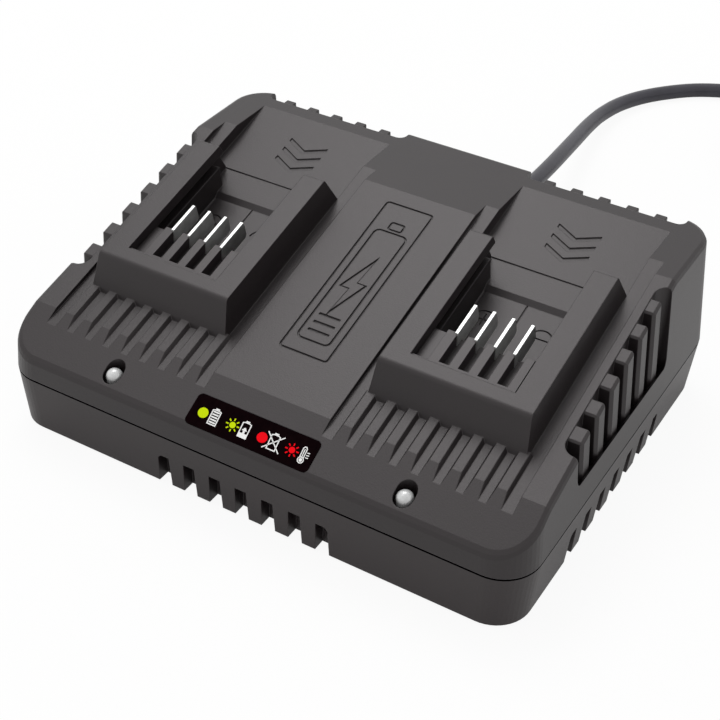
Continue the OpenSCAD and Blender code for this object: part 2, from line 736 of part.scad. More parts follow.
module terminal_block() {
    left = block_gap[0] - frame_in_w / 2;
    right = frame_in_w / 2 - block_gap[1];
    y0 = pocket_front_y + block_lip;
    rear_lean = 2.3;
    rear_h = 5.2;
    slot_y = y0 + 1.6;
    slot_deep = 4.8;
    y1 = block_rear_y + rear_lean;
    finger_x = slot_x(0) - slot_w / 2 - 3.85;
    difference() {
        union() {
            side_profile_at((left + right) / 2, right - left, [
                [y0, pocket_z(y0)], [y0, block_z(y0) - 0.5], [y0 + 0.4, block_z(y0 + 0.4)], [block_rear_y, block_z(block_rear_y)],
                [y1, block_z(y1) - rear_h], [y1, pocket_z(y1)]
            ]);
            side_profile(foot_w - 0.2, [
                [foot_y0 + 0.1, pocket_z(foot_y0) - wall], [foot_y0 + 0.1, pocket_z(foot_y0) + 5],
                [foot_y0 + foot_d - 0.1, pocket_z(foot_y0) + 5],
                [foot_y0 + foot_d - 0.1, pocket_z(foot_y0) - wall]
            ]);
        }
        for (i = [0 : 3]) side_profile_at(slot_x(i), slot_w, [
            [slot_y, top_h], [slot_y, block_z(slot_y) - slot_deep],
            [y1 + 1, block_z(y1 + 1) - slot_deep], [y1 + 1, top_h]
        ]);
        side_profile_at((finger_x + left - 1) / 2, finger_x - left + 1, [
            [y0 + 1.1, top_h], [y0 + 1.1, block_z(y0) - 3], [y1 + 1, block_z(y1) - 3], [y1 + 1, top_h]
        ]);
        blades();
    }
}

module terminal_block_left() color("#4a4848") in_case() translate([-bay_x, 0, 0]) terminal_block();
module terminal_block_right() color("#4a4848") in_case() translate([bay_x, 0, 0]) terminal_block();
module contact_blades_left() color("#c9ccd0") in_case() translate([-bay_x, 0, 0]) blades();
module contact_blades_right() color("#c9ccd0") in_case() translate([bay_x, 0, 0]) blades();

// ---- status lights and label ----

flange_r = 5;
flange_z = lens_boss_z - 0.05;                 // just under the boss, from the surface
flange_t = 1.2;
light_z = flange_z - flange_t;
emitter_t = 1.6;

module status_lenses() color("#f2f2f0") in_case() at_lenses() {
    intersection() {
        translate([0, 0, lens_top - lens_r]) sphere(lens_r);
        translate([0, 0, lens_top - lens_r + 4.2]) cube([10, 10, 10], center = true);
    }
    translate([0, 0, light_z]) cylinder(h = lens_top - lens_r - light_z, r = lens_r - 0.05);
    translate([0, 0, light_z]) cylinder(h = flange_t, r = flange_r);
}

module light_emitters() color("#f4efcf") in_case() at_lenses()
    translate([0, 0, light_z - emitter_t / 2]) cube([3.5, 2.8, emitter_t], center = true);

light_board_z = light_z - emitter_t;
module light_boards() color("#1f6b3a") in_case() at_lenses()
    translate([0, 0, light_board_z - board_t / 2]) cube([16, 9, board_t], center = true);

module light_leads() color("#b03030") in_case() for (s = [-1, 1], i = [-1, 1]) {
    x = s * bay_x + lens_shift + i * 2.5;
    z = front_plane_z(lens_y) + light_board_z - board_t;
    wire([[x, lens_y, z], [x, lens_y, z - 2], [x, lens_y + 4.5, z - 7],
          [x, board_y0 + 4, board_top + 7], [x, board_y0 + 4, board_top]], 1.2);
}

module status_label() color("#101012") in_case() on_front(0.7, label_y)
    translate([0, 0, -label_recess]) linear_extrude(0.5) plan(label_w - 0.2, label_h - 0.2, 1.9);

// ---- electronics ----

module on_board(x, y) in_case() translate([x, board_y0 + y, board_top]) children();
// A place as parts of the board's width from its middle and of its depth from its front
module on_part(u, v) on_board(u * board_w, v * board_d) children();

module main_board() color("#1f6b3a") in_case() difference() {
    translate([-board_w / 2, board_y0, board_z]) cube([board_w, board_d, board_t]);
    for (p = board_holes) translate([p.x, p.y, 0]) cylinder(h = 30, d = 3.2);
}

module board_screws() color("#b8bbbf") in_case()
    for (p = board_holes) translate([p.x, p.y, board_top]) mirror([0, 0, 1]) screw(2.5, 6, 5, 1.8);

header_y = board_d - 8;
header_h = 11;
module mains_header() color("#e8e6dc") on_board(0, header_y) difference() {
    translate([-7, -4.5, 0]) cube([14, 9, header_h]);
    for (x = [-3, 3]) translate([x, 0, header_h - 3]) cylinder(h = 5, d = 3.2);
}

fuse_x = -0.143 * board_w;
fuse_d = 5.2;
fuse_z = 5;
module fuse() color("#e6e2d0") on_board(fuse_x, header_y) translate([0, 0, fuse_z]) rotate([0, 90, 0]) {
    cylinder(h = 20, d = fuse_d - 0.4, center = true);
    for (s = [-1, 1]) translate([0, 0, s * 7.75]) cylinder(h = 5, d = fuse_d, center = true);
}

module fuse_clips() color("#c7a860") for (s = [-1, 1]) on_board(fuse_x + s * 7.75, header_y) difference() {
    translate([-2, -fuse_d / 2 - 0.8, 0]) cube([4, fuse_d + 1.6, fuse_z + 1]);
    translate([0, 0, fuse_z]) rotate([0, 90, 0]) cylinder(h = 8, d = fuse_d, center = true);
    translate([-3, -1.8, fuse_z]) cube([6, 3.6, 5]);
}

module film_capacitor() color("#c9a227") on_board(-0.298 * board_w, header_y) {
    translate([-9, -4, 0]) cube([18, 8, 15]);
}

// A toroid standing on its ring face, and the copper turns round it
module ring_core(r_out, r_in, h) rotate_extrude() translate([r_in, 0]) square([r_out - r_in, h]);
module ring_turns(r_out, r_in, h, count, from, to, wire_d) for (i = [0 : count - 1])
    rotate([0, 0, from + (to - from) * i / (count - 1)]) {
        for (r = [r_out + wire_d / 2, r_in - wire_d / 2])
            translate([r, 0, 0]) cylinder(h = h + wire_d, d = wire_d, $fn = 16);
        translate([r_in - wire_d / 2, 0, h + wire_d / 2]) rotate([0, 90, 0])
            cylinder(h = r_out - r_in + wire_d, d = wire_d, $fn = 16);
    }

choke_at = [-0.405 * board_w, 0.79 * board_d];
choke_r = 11;
module input_choke_core() color("#3b7a4a") on_board(choke_at.x, choke_at.y) ring_core(choke_r, 6.2, 9);
module input_choke_windings() color("#b46a3c") on_board(choke_at.x, choke_at.y)
    for (a = [0, 180]) rotate([0, 0, a]) ring_turns(choke_r, 6.2, 9, 8, -60, 60, 1.2);

module bridge_rectifier() color("#26262a") on_part(-0.214, 0.79) {
    translate([-10, -2, 2.5]) cube([20, 4, 14]);
    for (x = [-7.5, -2.5, 2.5, 7.5]) translate([x - 0.5, -0.4, 0]) cube([1, 0.8, 3]);
}

bulk_r = 13;
module bulk_capacitor() color("#23304f") on_part(-0.298, 0.565) {
    cylinder(h = 30, r = bulk_r);
    translate([0, 0, 30]) difference() {
        cylinder(h = 1, r = bulk_r - 1.2);
        for (a = [0, 90]) rotate([0, 0, a]) translate([-8, -0.4, 0.4]) cube([16, 0.8, 2]);
    }
}

sink_w = 46;
sink_h = 21;
module finned_sink() {
    translate([-sink_w / 2, 0, 0]) cube([sink_w, 3, sink_h]);
    for (i = [0 : 7]) translate([-sink_w / 2 + i * (sink_w - 1.6) / 7, 2, 0]) cube([1.6, 11, sink_h]);
}
sink_u = 0.345;
sink_v = 0.31;
module primary_heat_sink() color("#a7abb0") on_part(-sink_u, sink_v) finned_sink();
module secondary_heat_sink() color("#a7abb0") on_part(sink_u, sink_v) finned_sink();

// A flat power package screwed to a heat sink's face, with its legs in the board
module power_package() {
    translate([-5, -4.6, 5]) cube([10, 4.6, 9]);
    translate([-5, -1.3, 14]) difference() {
        cube([10, 1.3, 6]);
        translate([5, -1, 3.2]) rotate([-90, 0, 0]) cylinder(h = 5, d = 3.4);
    }
    for (x = [-2.5, 0, 2.5]) translate([x - 0.4, -2.7, 0]) cube([0.8, 0.6, 6]);
}
module power_transistor() color("#26262a") on_part(-sink_u, sink_v) power_package();
module output_diode() color("#26262a") on_part(sink_u, sink_v) power_package();

core_w = 40;
core_h = 33;
core_t = 12;
leg_w = 10;
window_w = (core_w - 2 * leg_w / 2 - leg_w) / 2;
transformer_at = [0, 0.5 * board_d];
bobbin_wall = 1.2;
bobbin_r = leg_w / 2 + bobbin_wall;
core_base = 4;
module transformer_core() color("#3d3f42") on_board(transformer_at.x, transformer_at.y)
    translate([0, core_t / 2, core_base]) rotate([90, 0, 0]) linear_extrude(core_t) difference() {
        translate([-core_w / 2, 0]) square([core_w, core_h]);
        for (s = [-1, 1]) translate([s * (leg_w / 2 + window_w / 2) - window_w / 2, leg_w / 2])
            square([window_w, core_h - leg_w]);
    }

bobbin_h = core_h - leg_w - 0.2;
module leg_hole() translate([0, 0, bobbin_h / 2]) cube([leg_w + 0.2, core_t + 0.2, bobbin_h + 10], center = true);
module transformer_bobbin() color("#2a2a2a") on_board(transformer_at.x, transformer_at.y) {
    translate([0, 0, core_base + leg_w / 2 + 0.1]) difference() {
        union() {
            translate([0, 0, bobbin_h / 2])
                cube([leg_w + 2 * bobbin_wall, core_t + 2 * bobbin_wall, bobbin_h], center = true);
            for (z = [0, bobbin_h - 1.4]) translate([0, 0, z + 0.7])
                cube([core_w - leg_w - 0.6, 30, 1.4], center = true);
        }
        leg_hole();
    }
    for (s = [-1, 1]) {
        translate([-13, s * 10.5 - 3.5, 0]) cube([26, 7, core_base + leg_w / 2 + 0.1]);
    }
}

winding_h = bobbin_h - 2.8 - 0.4;
module transformer_windings() color("#c98a2e") on_board(transformer_at.x, transformer_at.y)
    translate([0, 0, core_base + leg_w / 2 + 0.1 + 1.4 + 0.2]) difference() {
        linear_extrude(winding_h) plan(core_w - leg_w - 2.4, 27, 5);
        translate([0, 0, winding_h / 2])
            cube([leg_w + 2 * bobbin_wall + 0.1, core_t + 2 * bobbin_wall + 0.1, winding_h + 1], center = true);
    }

module output_capacitors() color("#23304f") for (i = [0 : 2]) on_part(0.238 + i * 0.1, 0.58) {
    cylinder(h = 25, d = 12.5);
    translate([0, 0, 25]) cylinder(h = 0.6, d = 11);
}

out_choke_at = [0.369 * board_w, 0.806 * board_d];
module output_choke_core() color("#c9b23a") on_board(out_choke_at.x, out_choke_at.y) ring_core(choke_r, 6.2, 9);
module output_choke_winding() color("#b46a3c") on_board(out_choke_at.x, out_choke_at.y)
    ring_turns(choke_r, 6.2, 9, 18, 0, 330, 1.4);

module output_relays() color("#2d4f8f") for (v = [0.742, 0.871]) on_part(0.19, v) {
    translate([-10, -6, 0]) cube([20, 12, 15]);
}

module controller_chip() color("#1c1c1e") on_part(0, 0.145) {
    translate([-6, -6, 0.3]) cube([12, 12, 1.5]);
    for (a = [0, 90, 180, 270]) rotate([0, 0, a]) for (i = [-4 : 4])
        translate([i * 1.2 - 0.25, 5.5, 0]) cube([0.5, 2, 0.5]);
}

out_header_y = 14;
out_header_h = 9;
module output_headers() color("#e8e6dc") for (s = [-1, 1]) on_board(s * bay_x, out_header_y) difference() {
    translate([-15, -3, 0]) cube([30, 6, out_header_h]);
    for (i = [0 : 3]) translate([slot_x(i) - slot_x(1.5), 0, out_header_h - 2]) cylinder(h = 5, d = 2.4);
}

module output_leads() color("#b03030") in_case() for (s = [-1, 1], i = [0 : 3]) {
    x0 = s * bay_x + slot_x(i) - slot_x(1.5);
    x1 = s * bay_x + blade_x(i);
    y0 = board_y0 + out_header_y;
    y1 = (tail_y0 + tail_y1) / 2;
    z0 = board_top + out_header_h - 2;
    wire([[x0, y0, z0], [x0, y0, z0 + 8], [x1, y1, tail_z - 4], [x1, y1, tail_z]], 2.2);
}

// ---- mains lead ----

flange_y = case_d - wall - 1;
module strain_relief() color("#2b2b2d") in_case() translate([0, flange_y - 3, parting_z])
    rotate([-90, 0, 0]) rotate_extrude() {
        out = case_d - flange_y + 3;
        rings = 5;
        bore = cord_d / 2;
        polygon(concat(
            [[bore, 0], [9, 0], [9, 3], [cord_hole_d / 2 - 0.05, 3], [cord_hole_d / 2 - 0.05, out + 0.3],
             [7.6, out + 0.3], [7.6, out + 3]],
            [for (i = [0 : rings - 1], k = [0 : 3]) let (s = out + 4 + i * 5, r = 7 - i * 0.45)
                [k == 0 || k == 3 ? r - 1.3 : r, s + [0, 0.3, 3.2, 3.5][k]]],
            [[4.9, out + boot_len], [bore, out + boot_len]]
        ));
    }

module inner_mains_lead() color("#3a3a3d") in_case() {
    translate([0, case_d - 22, parting_z]) rotate([-90, 0, 0])
        cylinder(h = 22, d = cord_d);
    header_top = board_top + header_h - 3;
    for (s = [-1, 1])
        wire([[s * 1.8, case_d - 22, parting_z], [s * 2.4, board_y0 + header_y + 2, parting_z + 2],
              [s * 3, board_y0 + header_y, parting_z - 1], [s * 3, board_y0 + header_y, header_top]], 2.8);
}

module cord_clamp() color("#2b2b2d") in_case() translate([0, clamp_y, clamp_post_top]) difference() {
    translate([-15.5, -4, 0]) cube([31, 8, 3]);
    for (x = [-1, 1]) translate([x * clamp_x, 0, -1]) cylinder(h = 5, d = 3);
}

module clamp_screws() color("#b8bbbf") in_case() for (x = [-1, 1])
    translate([x * clamp_x, clamp_y, clamp_post_top + 3]) mirror([0, 0, 1]) screw(2.5, 12, 5, 1.8);

// Route of the free lead, from the strain relief to the coil, and from the coil to the plug
cord_z = cord_d / 2;
exit_z = parting_z + foot_h;
exit_y = case_d / 2;
cord_route = [
    [0, exit_y, exit_z], [0, exit_y + 16, exit_z], [0, exit_y + boot_len, exit_z],
    [0.8, 133, 24.7], [0.8, 148, 23.7], [0, 162, 22.2], [-1.2, 176, 20.4], [-2.8, 190, 18.3],
    [-4.6, 204, 15.9], [-6.5, 218, 13.4], [-8.2, 231, 11.2], [-9.4, 243, 9.2], [-9.8, 256, 7.4],
    [-8, 273, 5.6], [-2.5, 289, 4.4], [6.5, 303, cord_z], [19, 315, cord_z], [34, 323.5, cord_z],
    [50, 328, cord_z], [66, 330, cord_z], [88, 330, cord_z], [110, 330, cord_z]
];
coil_r = 48;
coil_at = [110, 330 - coil_r];
tail_route = [
    [110, 330, 11.25], [122, 330, 11.2], [134, 329.4, 10.4], [146, 327, 8.7], [157, 322.3, 6.7],
    [166, 315.5, 5.1], [173, 307, 4.2], [178, 297, 4], [181, 286, 4.6], [182, 276, 5.8],
    [182, 268, 6.9]
];

module mains_cord() color("#4a4a50") difference() {
    union() {
        tube([for (i = [0 : len(cord_route) - 2]) cord_route[i]], cord_d);
        tube([for (i = [1 : len(tail_route) - 1]) tail_route[i]], cord_d);
    }
    coil_ring();
}

module cord_coil() color("#4a4a50") coil_ring();

// Two layers of three turns, wound as one ring
module coil_ring() translate([coil_at.x, coil_at.y, 0]) rotate_extrude($fn = 72)
    translate([coil_r - 2.5 * cord_d, 0]) square([3 * cord_d, 2 * cord_d]);

// Two-pin plug lying flat, its lead entry at the end of the tail
plug_at = tail_route[len(tail_route) - 1];
plug_t = 13.8;
module plug_frame() translate([plug_at.x, plug_at.y, plug_t / 2]) rotate([0, 0, 180]) children();

module plug_body() color("#3a3a3d") plug_frame() intersection() {
    translate([0, 0, -plug_t / 2]) linear_extrude(plug_t) polygon([
        [-5, 0], [5, 0], [6.5, 8], [8, 14], [13, 21], [17.6, 26], [17.6, 40], [14.6, 46],
        [-14.6, 46], [-17.6, 40], [-17.6, 26], [-13, 21], [-8, 14], [-6.5, 8]
    ]);
    rotate([90, 0, 90]) linear_extrude(60, center = true) polygon([
        [0, -5], [0, 5], [14, plug_t / 2], [44, plug_t / 2], [46, plug_t / 2 - 1.5],
        [46, 1.5 - plug_t / 2], [44, -plug_t / 2], [14, -plug_t / 2]
    ]);
}

module plug_pins() color("#c9ccd0") plug_frame() for (s = [-1, 1])
    translate([s * 9.2, 46, 0]) rotate([-90, 0, 0]) {
        cylinder(h = 17.5, d = 4);
        translate([0, 0, 17.5]) cylinder(h = 1.5, d1 = 4, d2 = 2.4);
    }

upper_housing();
lower_housing();
terminal_block_left();
terminal_block_right();
contact_blades_left();
contact_blades_right();
status_lenses();
status_label();
light_boards();
light_emitters();
light_leads();
rubber_feet();
housing_screws();
main_board();
board_screws();
mains_header();
fuse();
fuse_clips();
film_capacitor();
input_choke_core();
input_choke_windings();
bridge_rectifier();
bulk_capacitor();
primary_heat_sink();
power_transistor();
transformer_core();
transformer_bobbin();
transformer_windings();
secondary_heat_sink();
output_diode();
output_capacitors();
output_choke_core();
output_choke_winding();
output_relays();
controller_chip();
output_headers();
output_leads();
cord_clamp();
clamp_screws();
inner_mains_lead();
strain_relief();
mains_cord();
cord_coil();
plug_body();
plug_pins();
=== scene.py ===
import math

import bmesh
import bpy
from mathutils import Matrix, Vector


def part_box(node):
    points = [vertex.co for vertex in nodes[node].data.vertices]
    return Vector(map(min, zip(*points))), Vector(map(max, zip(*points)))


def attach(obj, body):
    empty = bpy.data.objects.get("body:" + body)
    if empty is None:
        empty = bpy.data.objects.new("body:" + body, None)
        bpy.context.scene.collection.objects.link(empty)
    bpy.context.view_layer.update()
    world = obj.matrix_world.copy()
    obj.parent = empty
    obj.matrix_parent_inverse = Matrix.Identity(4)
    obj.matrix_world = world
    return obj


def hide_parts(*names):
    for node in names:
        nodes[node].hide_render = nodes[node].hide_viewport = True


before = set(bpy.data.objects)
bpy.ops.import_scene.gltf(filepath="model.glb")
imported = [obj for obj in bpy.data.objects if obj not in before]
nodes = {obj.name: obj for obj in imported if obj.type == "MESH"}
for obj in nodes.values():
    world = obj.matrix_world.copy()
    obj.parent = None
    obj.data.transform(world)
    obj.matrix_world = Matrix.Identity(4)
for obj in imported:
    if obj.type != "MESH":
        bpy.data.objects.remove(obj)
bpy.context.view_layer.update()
mm = 0.001
print("loaded", len(nodes), "nodes")

# A three-quarter view from the front right and above
camera = {
    "lens": 73.69,
    "sensor": 36,
    "clip": (0.05, 20),
    "place": (0.233004, -0.398066, 0.376827),
    "look": (-0.40130, 0.67947, -0.61423),
    "roll": 0.018,
}


def makeCamera():
    data = bpy.data.cameras.new("studioCamera")
    data.sensor_width = camera["sensor"]
    data.lens = camera["lens"]
    data.clip_start, data.clip_end = camera["clip"]
    cam = bpy.data.objects.new("studioCamera", data)
    bpy.context.scene.collection.objects.link(cam)
    look = Vector(camera["look"]).normalized()
    side = look.cross(Vector((0, 0, 1))).normalized()
    rise = side.cross(look)
    right = side * math.cos(camera["roll"]) + rise * math.sin(camera["roll"])
    up = rise * math.cos(camera["roll"]) - side * math.sin(camera["roll"])
    turn = Matrix((right, up, -look)).transposed().to_4x4()
    cam.matrix_world = Matrix.Translation(camera["place"]) @ turn
    bpy.context.scene.camera = cam


makeCamera()
print("camera made")


# Colours are written as sRGB hex, and turned to linear here and nowhere else
def linear(hexColour):
    channels = [int(hexColour[i:i + 2], 16) / 255 for i in (1, 3, 5)]
    return (*[c / 12.92 if c <= 0.04045 else ((c + 0.055) / 1.055) ** 2.4 for c in channels], 1)


def newMaterial(name):
    mat = bpy.data.materials.new(name)
    mat.use_nodes = True
    return mat, mat.node_tree.nodes["Principled BSDF"]


# Sets a node's inputs by name, or by number where a name comes twice (i6 is number 6). A value is a
# number or a colour, or another node's output, which is linked
def feed(node, **inputs):
    for key, value in inputs.items():
        numbered = key[0] == "i" and key[1:].isdigit()
        socket = node.inputs[int(key[1:]) if numbered else key.replace("_", " ")]
        if isinstance(value, bpy.types.NodeSocket):
            node.id_data.links.new(value, socket)
        else:
            socket.default_value = value


# Adds a node to a material or a world, with its own settings and its inputs; stops are the places
# and colours of a colour ramp
def addNode(owner, kind, settings=None, **inputs):
    node = owner.node_tree.nodes.new(kind)
    for key, value in (settings or {}).items():
        if key == "stops":
            for element, (place, hexColour) in zip(node.color_ramp.elements, value):
                element.position = place
                element.color = linear(hexColour)
        else:
            setattr(node, key, value)
    feed(node, **inputs)
    return node


# Object space in millimetres, so that a pattern's scale is 1 over its real size
def millimetres(mat, stretch=(1, 1, 1)):
    place = addNode(mat, "ShaderNodeTexCoord")
    grown = addNode(mat, "ShaderNodeVectorMath", {"operation": "MULTIPLY"},
                    i0=place.outputs["Object"], i1=tuple(s / mm for s in stretch))
    return grown.outputs[0]


noiseRange = (0.3, 0.7)             # a noise's values mostly lie between these
edgeSamples = 6                     # how finely a soft edge is felt for

# What every moulded surface shares: pits with painted shade, relief counted in grains, and how an
# edge wears
moulding = {
    "pit": 1.7, "pitShade": "#b4b4b4", "pitDepth": 0.5, "relief": 0.2, "roughSpread": 0.05,
    "wearAndHighlightFrom": 0.995, "wearAndHighlightFully": 0.78, "wornSmoother": 0.12,
}


# Moulded polymer: a colour that drifts a little, a fine eroded grain, and edges that the tool left
# slightly round and polished: smoother, and painted lighter as a highlight where the light catches
def mouldedPolymer(name, spec):
    mat, shader = newMaterial(name)
    place = millimetres(mat)
    drift = addNode(mat, "ShaderNodeTexNoise", Vector=place, Scale=1 / spec["driftMm"], Detail=3)
    grain = addNode(mat, "ShaderNodeTexNoise", Vector=place, Scale=1 / spec["grainMm"], Detail=4,
                    Roughness=0.6)
    pits = addNode(mat, "ShaderNodeTexVoronoi", Vector=place,
                   Scale=1 / (spec["grainMm"] * moulding["pit"]))
    edge = addNode(mat, "ShaderNodeBevel", {"samples": edgeSamples}, Radius=spec["edgeMm"] * mm)
    flat = addNode(mat, "ShaderNodeNewGeometry")
    facing = addNode(mat, "ShaderNodeVectorMath", {"operation": "DOT_PRODUCT"}, i0=edge.outputs[0],
                     i1=flat.outputs["Normal"])
    wearAndHighlight = addNode(mat, "ShaderNodeMapRange", Value=facing.outputs["Value"],
                   From_Min=moulding["wearAndHighlightFully"], From_Max=moulding["wearAndHighlightFrom"],
                   To_Min=1, To_Max=0)
    stops = zip(noiseRange, (spec["shade"], spec["colour"]))
    base = addNode(mat, "ShaderNodeValToRGB", {"stops": stops}, Fac=drift.outputs["Fac"])
    # painted shade: the colour is darkened in the grain's pits, where shade falls
    stops = ((0, moulding["pitShade"]), (0.5, "#ffffff"))
    dark = addNode(mat, "ShaderNodeValToRGB", {"stops": stops}, Fac=pits.outputs["Distance"])
    pitPaintedShade = addNode(mat, "ShaderNodeMix", {"data_type": "RGBA", "blend_type": "MULTIPLY"},
                    Factor=spec["pitPaintedShade"], i6=base.outputs[0], i7=dark.outputs[0])
    # painted highlight: the worn, polished edges take a lighter colour that stands for the light
    # they catch
    tint = addNode(mat, "ShaderNodeMix", {"data_type": "RGBA"}, Factor=wearAndHighlight.outputs[0],
                   i6=pitPaintedShade.outputs[2], i7=linear(spec["edgeWearAndHighlightColour"]))
    spread = addNode(mat, "ShaderNodeMapRange", Value=grain.outputs["Fac"],
                     To_Min=spec["rough"] - moulding["roughSpread"],
                     To_Max=spec["rough"] + moulding["roughSpread"])
    rough = addNode(mat, "ShaderNodeMath", {"operation": "MULTIPLY_ADD"}, i0=wearAndHighlight.outputs[0],
                    i1=-moulding["wornSmoother"], i2=spread.outputs[0])
    relief = addNode(mat, "ShaderNodeMath", {"operation": "MULTIPLY_ADD"},
                     i0=pits.outputs["Distance"], i1=moulding["pitDepth"], i2=grain.outputs["Fac"])
    bump = addNode(mat, "ShaderNodeBump", Strength=spec["bump"],
                   Distance=spec["grainMm"] * moulding["relief"] * mm, Height=relief.outputs[0],
                   Normal=edge.outputs[0])
    feed(shader, Base_Color=tint.outputs[2], Roughness=rough.outputs[0], Normal=bump.outputs[0],
         IOR=spec["ior"], Specular_IOR_Level=spec["gloss"], Specular_Tint=linear(spec["glint"]))
    return mat


# What every worked metal shares: how its roughness swings, and the depth of its lines
working = {"smoother": 0.08, "rougher": 0.1, "lineShare": 0.5, "bump": 0.25, "lineDepthMm": 0.02}


# Drawn or stamped metal: fine lines along one way, with a soft edge
def workedMetal(name, spec):
    mat, shader = newMaterial(name)
    lines = addNode(mat, "ShaderNodeTexNoise", Vector=millimetres(mat, spec["stretch"]),
                    Scale=1 / spec["lineMm"], Detail=5, Roughness=0.65)
    cloud = addNode(mat, "ShaderNodeTexNoise", Vector=millimetres(mat), Scale=1 / spec["cloudMm"],
                    Detail=2)
    clouds = addNode(mat, "ShaderNodeMapRange", Value=cloud.outputs["Fac"],
                     To_Max=1 - working["lineShare"])
    blend = addNode(mat, "ShaderNodeMath", {"operation": "MULTIPLY_ADD"}, i0=lines.outputs["Fac"],
                    i1=working["lineShare"], i2=clouds.outputs[0])
    stops = zip(noiseRange, (spec["shade"], spec["colour"]))
    base = addNode(mat, "ShaderNodeValToRGB", {"stops": stops}, Fac=blend.outputs[0])
    rough = addNode(mat, "ShaderNodeMapRange", Value=lines.outputs["Fac"],
                    To_Min=spec["rough"] - working["smoother"],
                    To_Max=spec["rough"] + working["rougher"])
    edge = addNode(mat, "ShaderNodeBevel", {"samples": edgeSamples}, Radius=spec["edgeMm"] * mm)
    bump = addNode(mat, "ShaderNodeBump", Strength=working["bump"],
                   Distance=working["lineDepthMm"] * mm, Height=lines.outputs["Fac"],
                   Normal=edge.outputs[0])
    feed(shader, Base_Color=base.outputs[0], Roughness=rough.outputs[0], Normal=bump.outputs[0],
         Metallic=1)
    return mat


# Glass-filled nylon, moulded in a spark-eroded tool: charcoal, satin, with a grain finer than half
# a millimetre that breaks up the light; level faces turn warm grey where soft light glances off
upperNylon = {
    "colour": "#1a1516", "shade": "#161213", "edgeWearAndHighlightColour": "#242021", "glint": "#fffafb",
    "pitPaintedShade": 0.25, "driftMm": 35, "grainMm": 0.45, "edgeMm": 0.45, "rough": 0.42, "bump": 0.35,
    "ior": 1.5, "gloss": 0.5,
}
# The lower half: the same nylon from another tool, a touch warmer
lowerNylon = {**upperNylon, "colour": "#1b1314", "shade": "#171011", "edgeWearAndHighlightColour": "#241d1e"}
# Glass-filled PBT, black, moulded with a finer finish, between the contacts
terminalPbt = {**upperNylon, "colour": "#252122", "shade": "#211d1e", "edgeWearAndHighlightColour": "#2b2728",
               "grainMm": 0.3, "edgeMm": 0.25, "bump": 0.2}
# Spring bronze, stamped and tin plated: white metal with fine lines along the stroke
contactBronze = {"colour": "#e4e5e4", "shade": "#b9bab8", "stretch": (1, 0.08, 1), "lineMm": 0.25,
                 "cloudMm": 4, "rough": 0.45, "edgeMm": 0.2}
# Flexible PVC moulded over the lead: dark grey, with a coarser grain
neckPvc = {**upperNylon, "colour": "#28282b", "shade": "#242427", "edgeWearAndHighlightColour": "#343437",
           "grainMm": 0.5}
# Brass pins, turned and nickel plated: bright, with fine lines round the pin
pinBrass = {"colour": "#d8d6d0", "shade": "#b4b2ab", "stretch": (0.1, 1, 0.1), "lineMm": 0.3,
            "cloudMm": 5, "rough": 0.22, "edgeMm": 0.2}

upperCase = mouldedPolymer("mouldedNylonCharcoal", upperNylon)
lowerCase = mouldedPolymer("mouldedNylonGraphite", lowerNylon)
terminalCase = mouldedPolymer("mouldedPbtBlack", terminalPbt)
tinnedBronze = workedMetal("tinPlatedBronze", contactBronze)
plugPvc = mouldedPolymer("mouldedPvcDark", neckPvc)
nickelBrass = workedMetal("nickelPlatedBrass", pinBrass)

# The joint between the two halves is a gap that no light comes out of: its shade is painted as a
# near-black band without shine along the lower half's edge, with its reach in millimetres below and
# above the joint
paintedJointShade = {"below": 0.85, "above": 0.1, "colour": "#040304"}


def paintJointShade(mat, gloss):
    shader = mat.node_tree.nodes["Principled BSDF"]
    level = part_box("upper_housing")[0].z / mm
    height = addNode(mat, "ShaderNodeSeparateXYZ", Vector=millimetres(mat)).outputs["Z"]
    over = addNode(mat, "ShaderNodeMath", {"operation": "GREATER_THAN"}, i0=height,
                   i1=level - paintedJointShade["below"])
    under = addNode(mat, "ShaderNodeMath", {"operation": "LESS_THAN"}, i0=height,
                    i1=level + paintedJointShade["above"])
    band = addNode(mat, "ShaderNodeMath", {"operation": "MULTIPLY"}, i0=over.outputs[0],
                   i1=under.outputs[0])
    # painted shade: inside the band the colour turns near-black and the shine goes to nothing
    tint = addNode(mat, "ShaderNodeMix", {"data_type": "RGBA"}, Factor=band.outputs[0],
                   i6=shader.inputs["Base Color"].links[0].from_socket, i7=linear(paintedJointShade["colour"]))
    shine = addNode(mat, "ShaderNodeMapRange", Value=band.outputs[0], To_Min=gloss, To_Max=0)
    feed(shader, Base_Color=tint.outputs[2], Specular_IOR_Level=shine.outputs[0])


paintJointShade(lowerCase, lowerNylon["gloss"])

# Diffusing polycarbonate, polished: a milky dome under a clear skin, cool white with a broad
# highlight; its skirt is clearer, and the dark bore seen through it is painted in as a grey shade
lensPolycarbonate = {
    "colour": "#cacbcb", "shade": "#bcbdbd", "skirtPaintedShade": "#a9a9a9", "hazeMm": 1.5, "rough": (0.2, 0.3),
    "skirtTop": (2.3, 1.5),         # the skirt ends and the milk begins, below the dome's top
    "ior": 1.58, "scatter": 0.2, "scatterMm": 1, "skinIor": 2.1, "skinRough": 0.28,
}


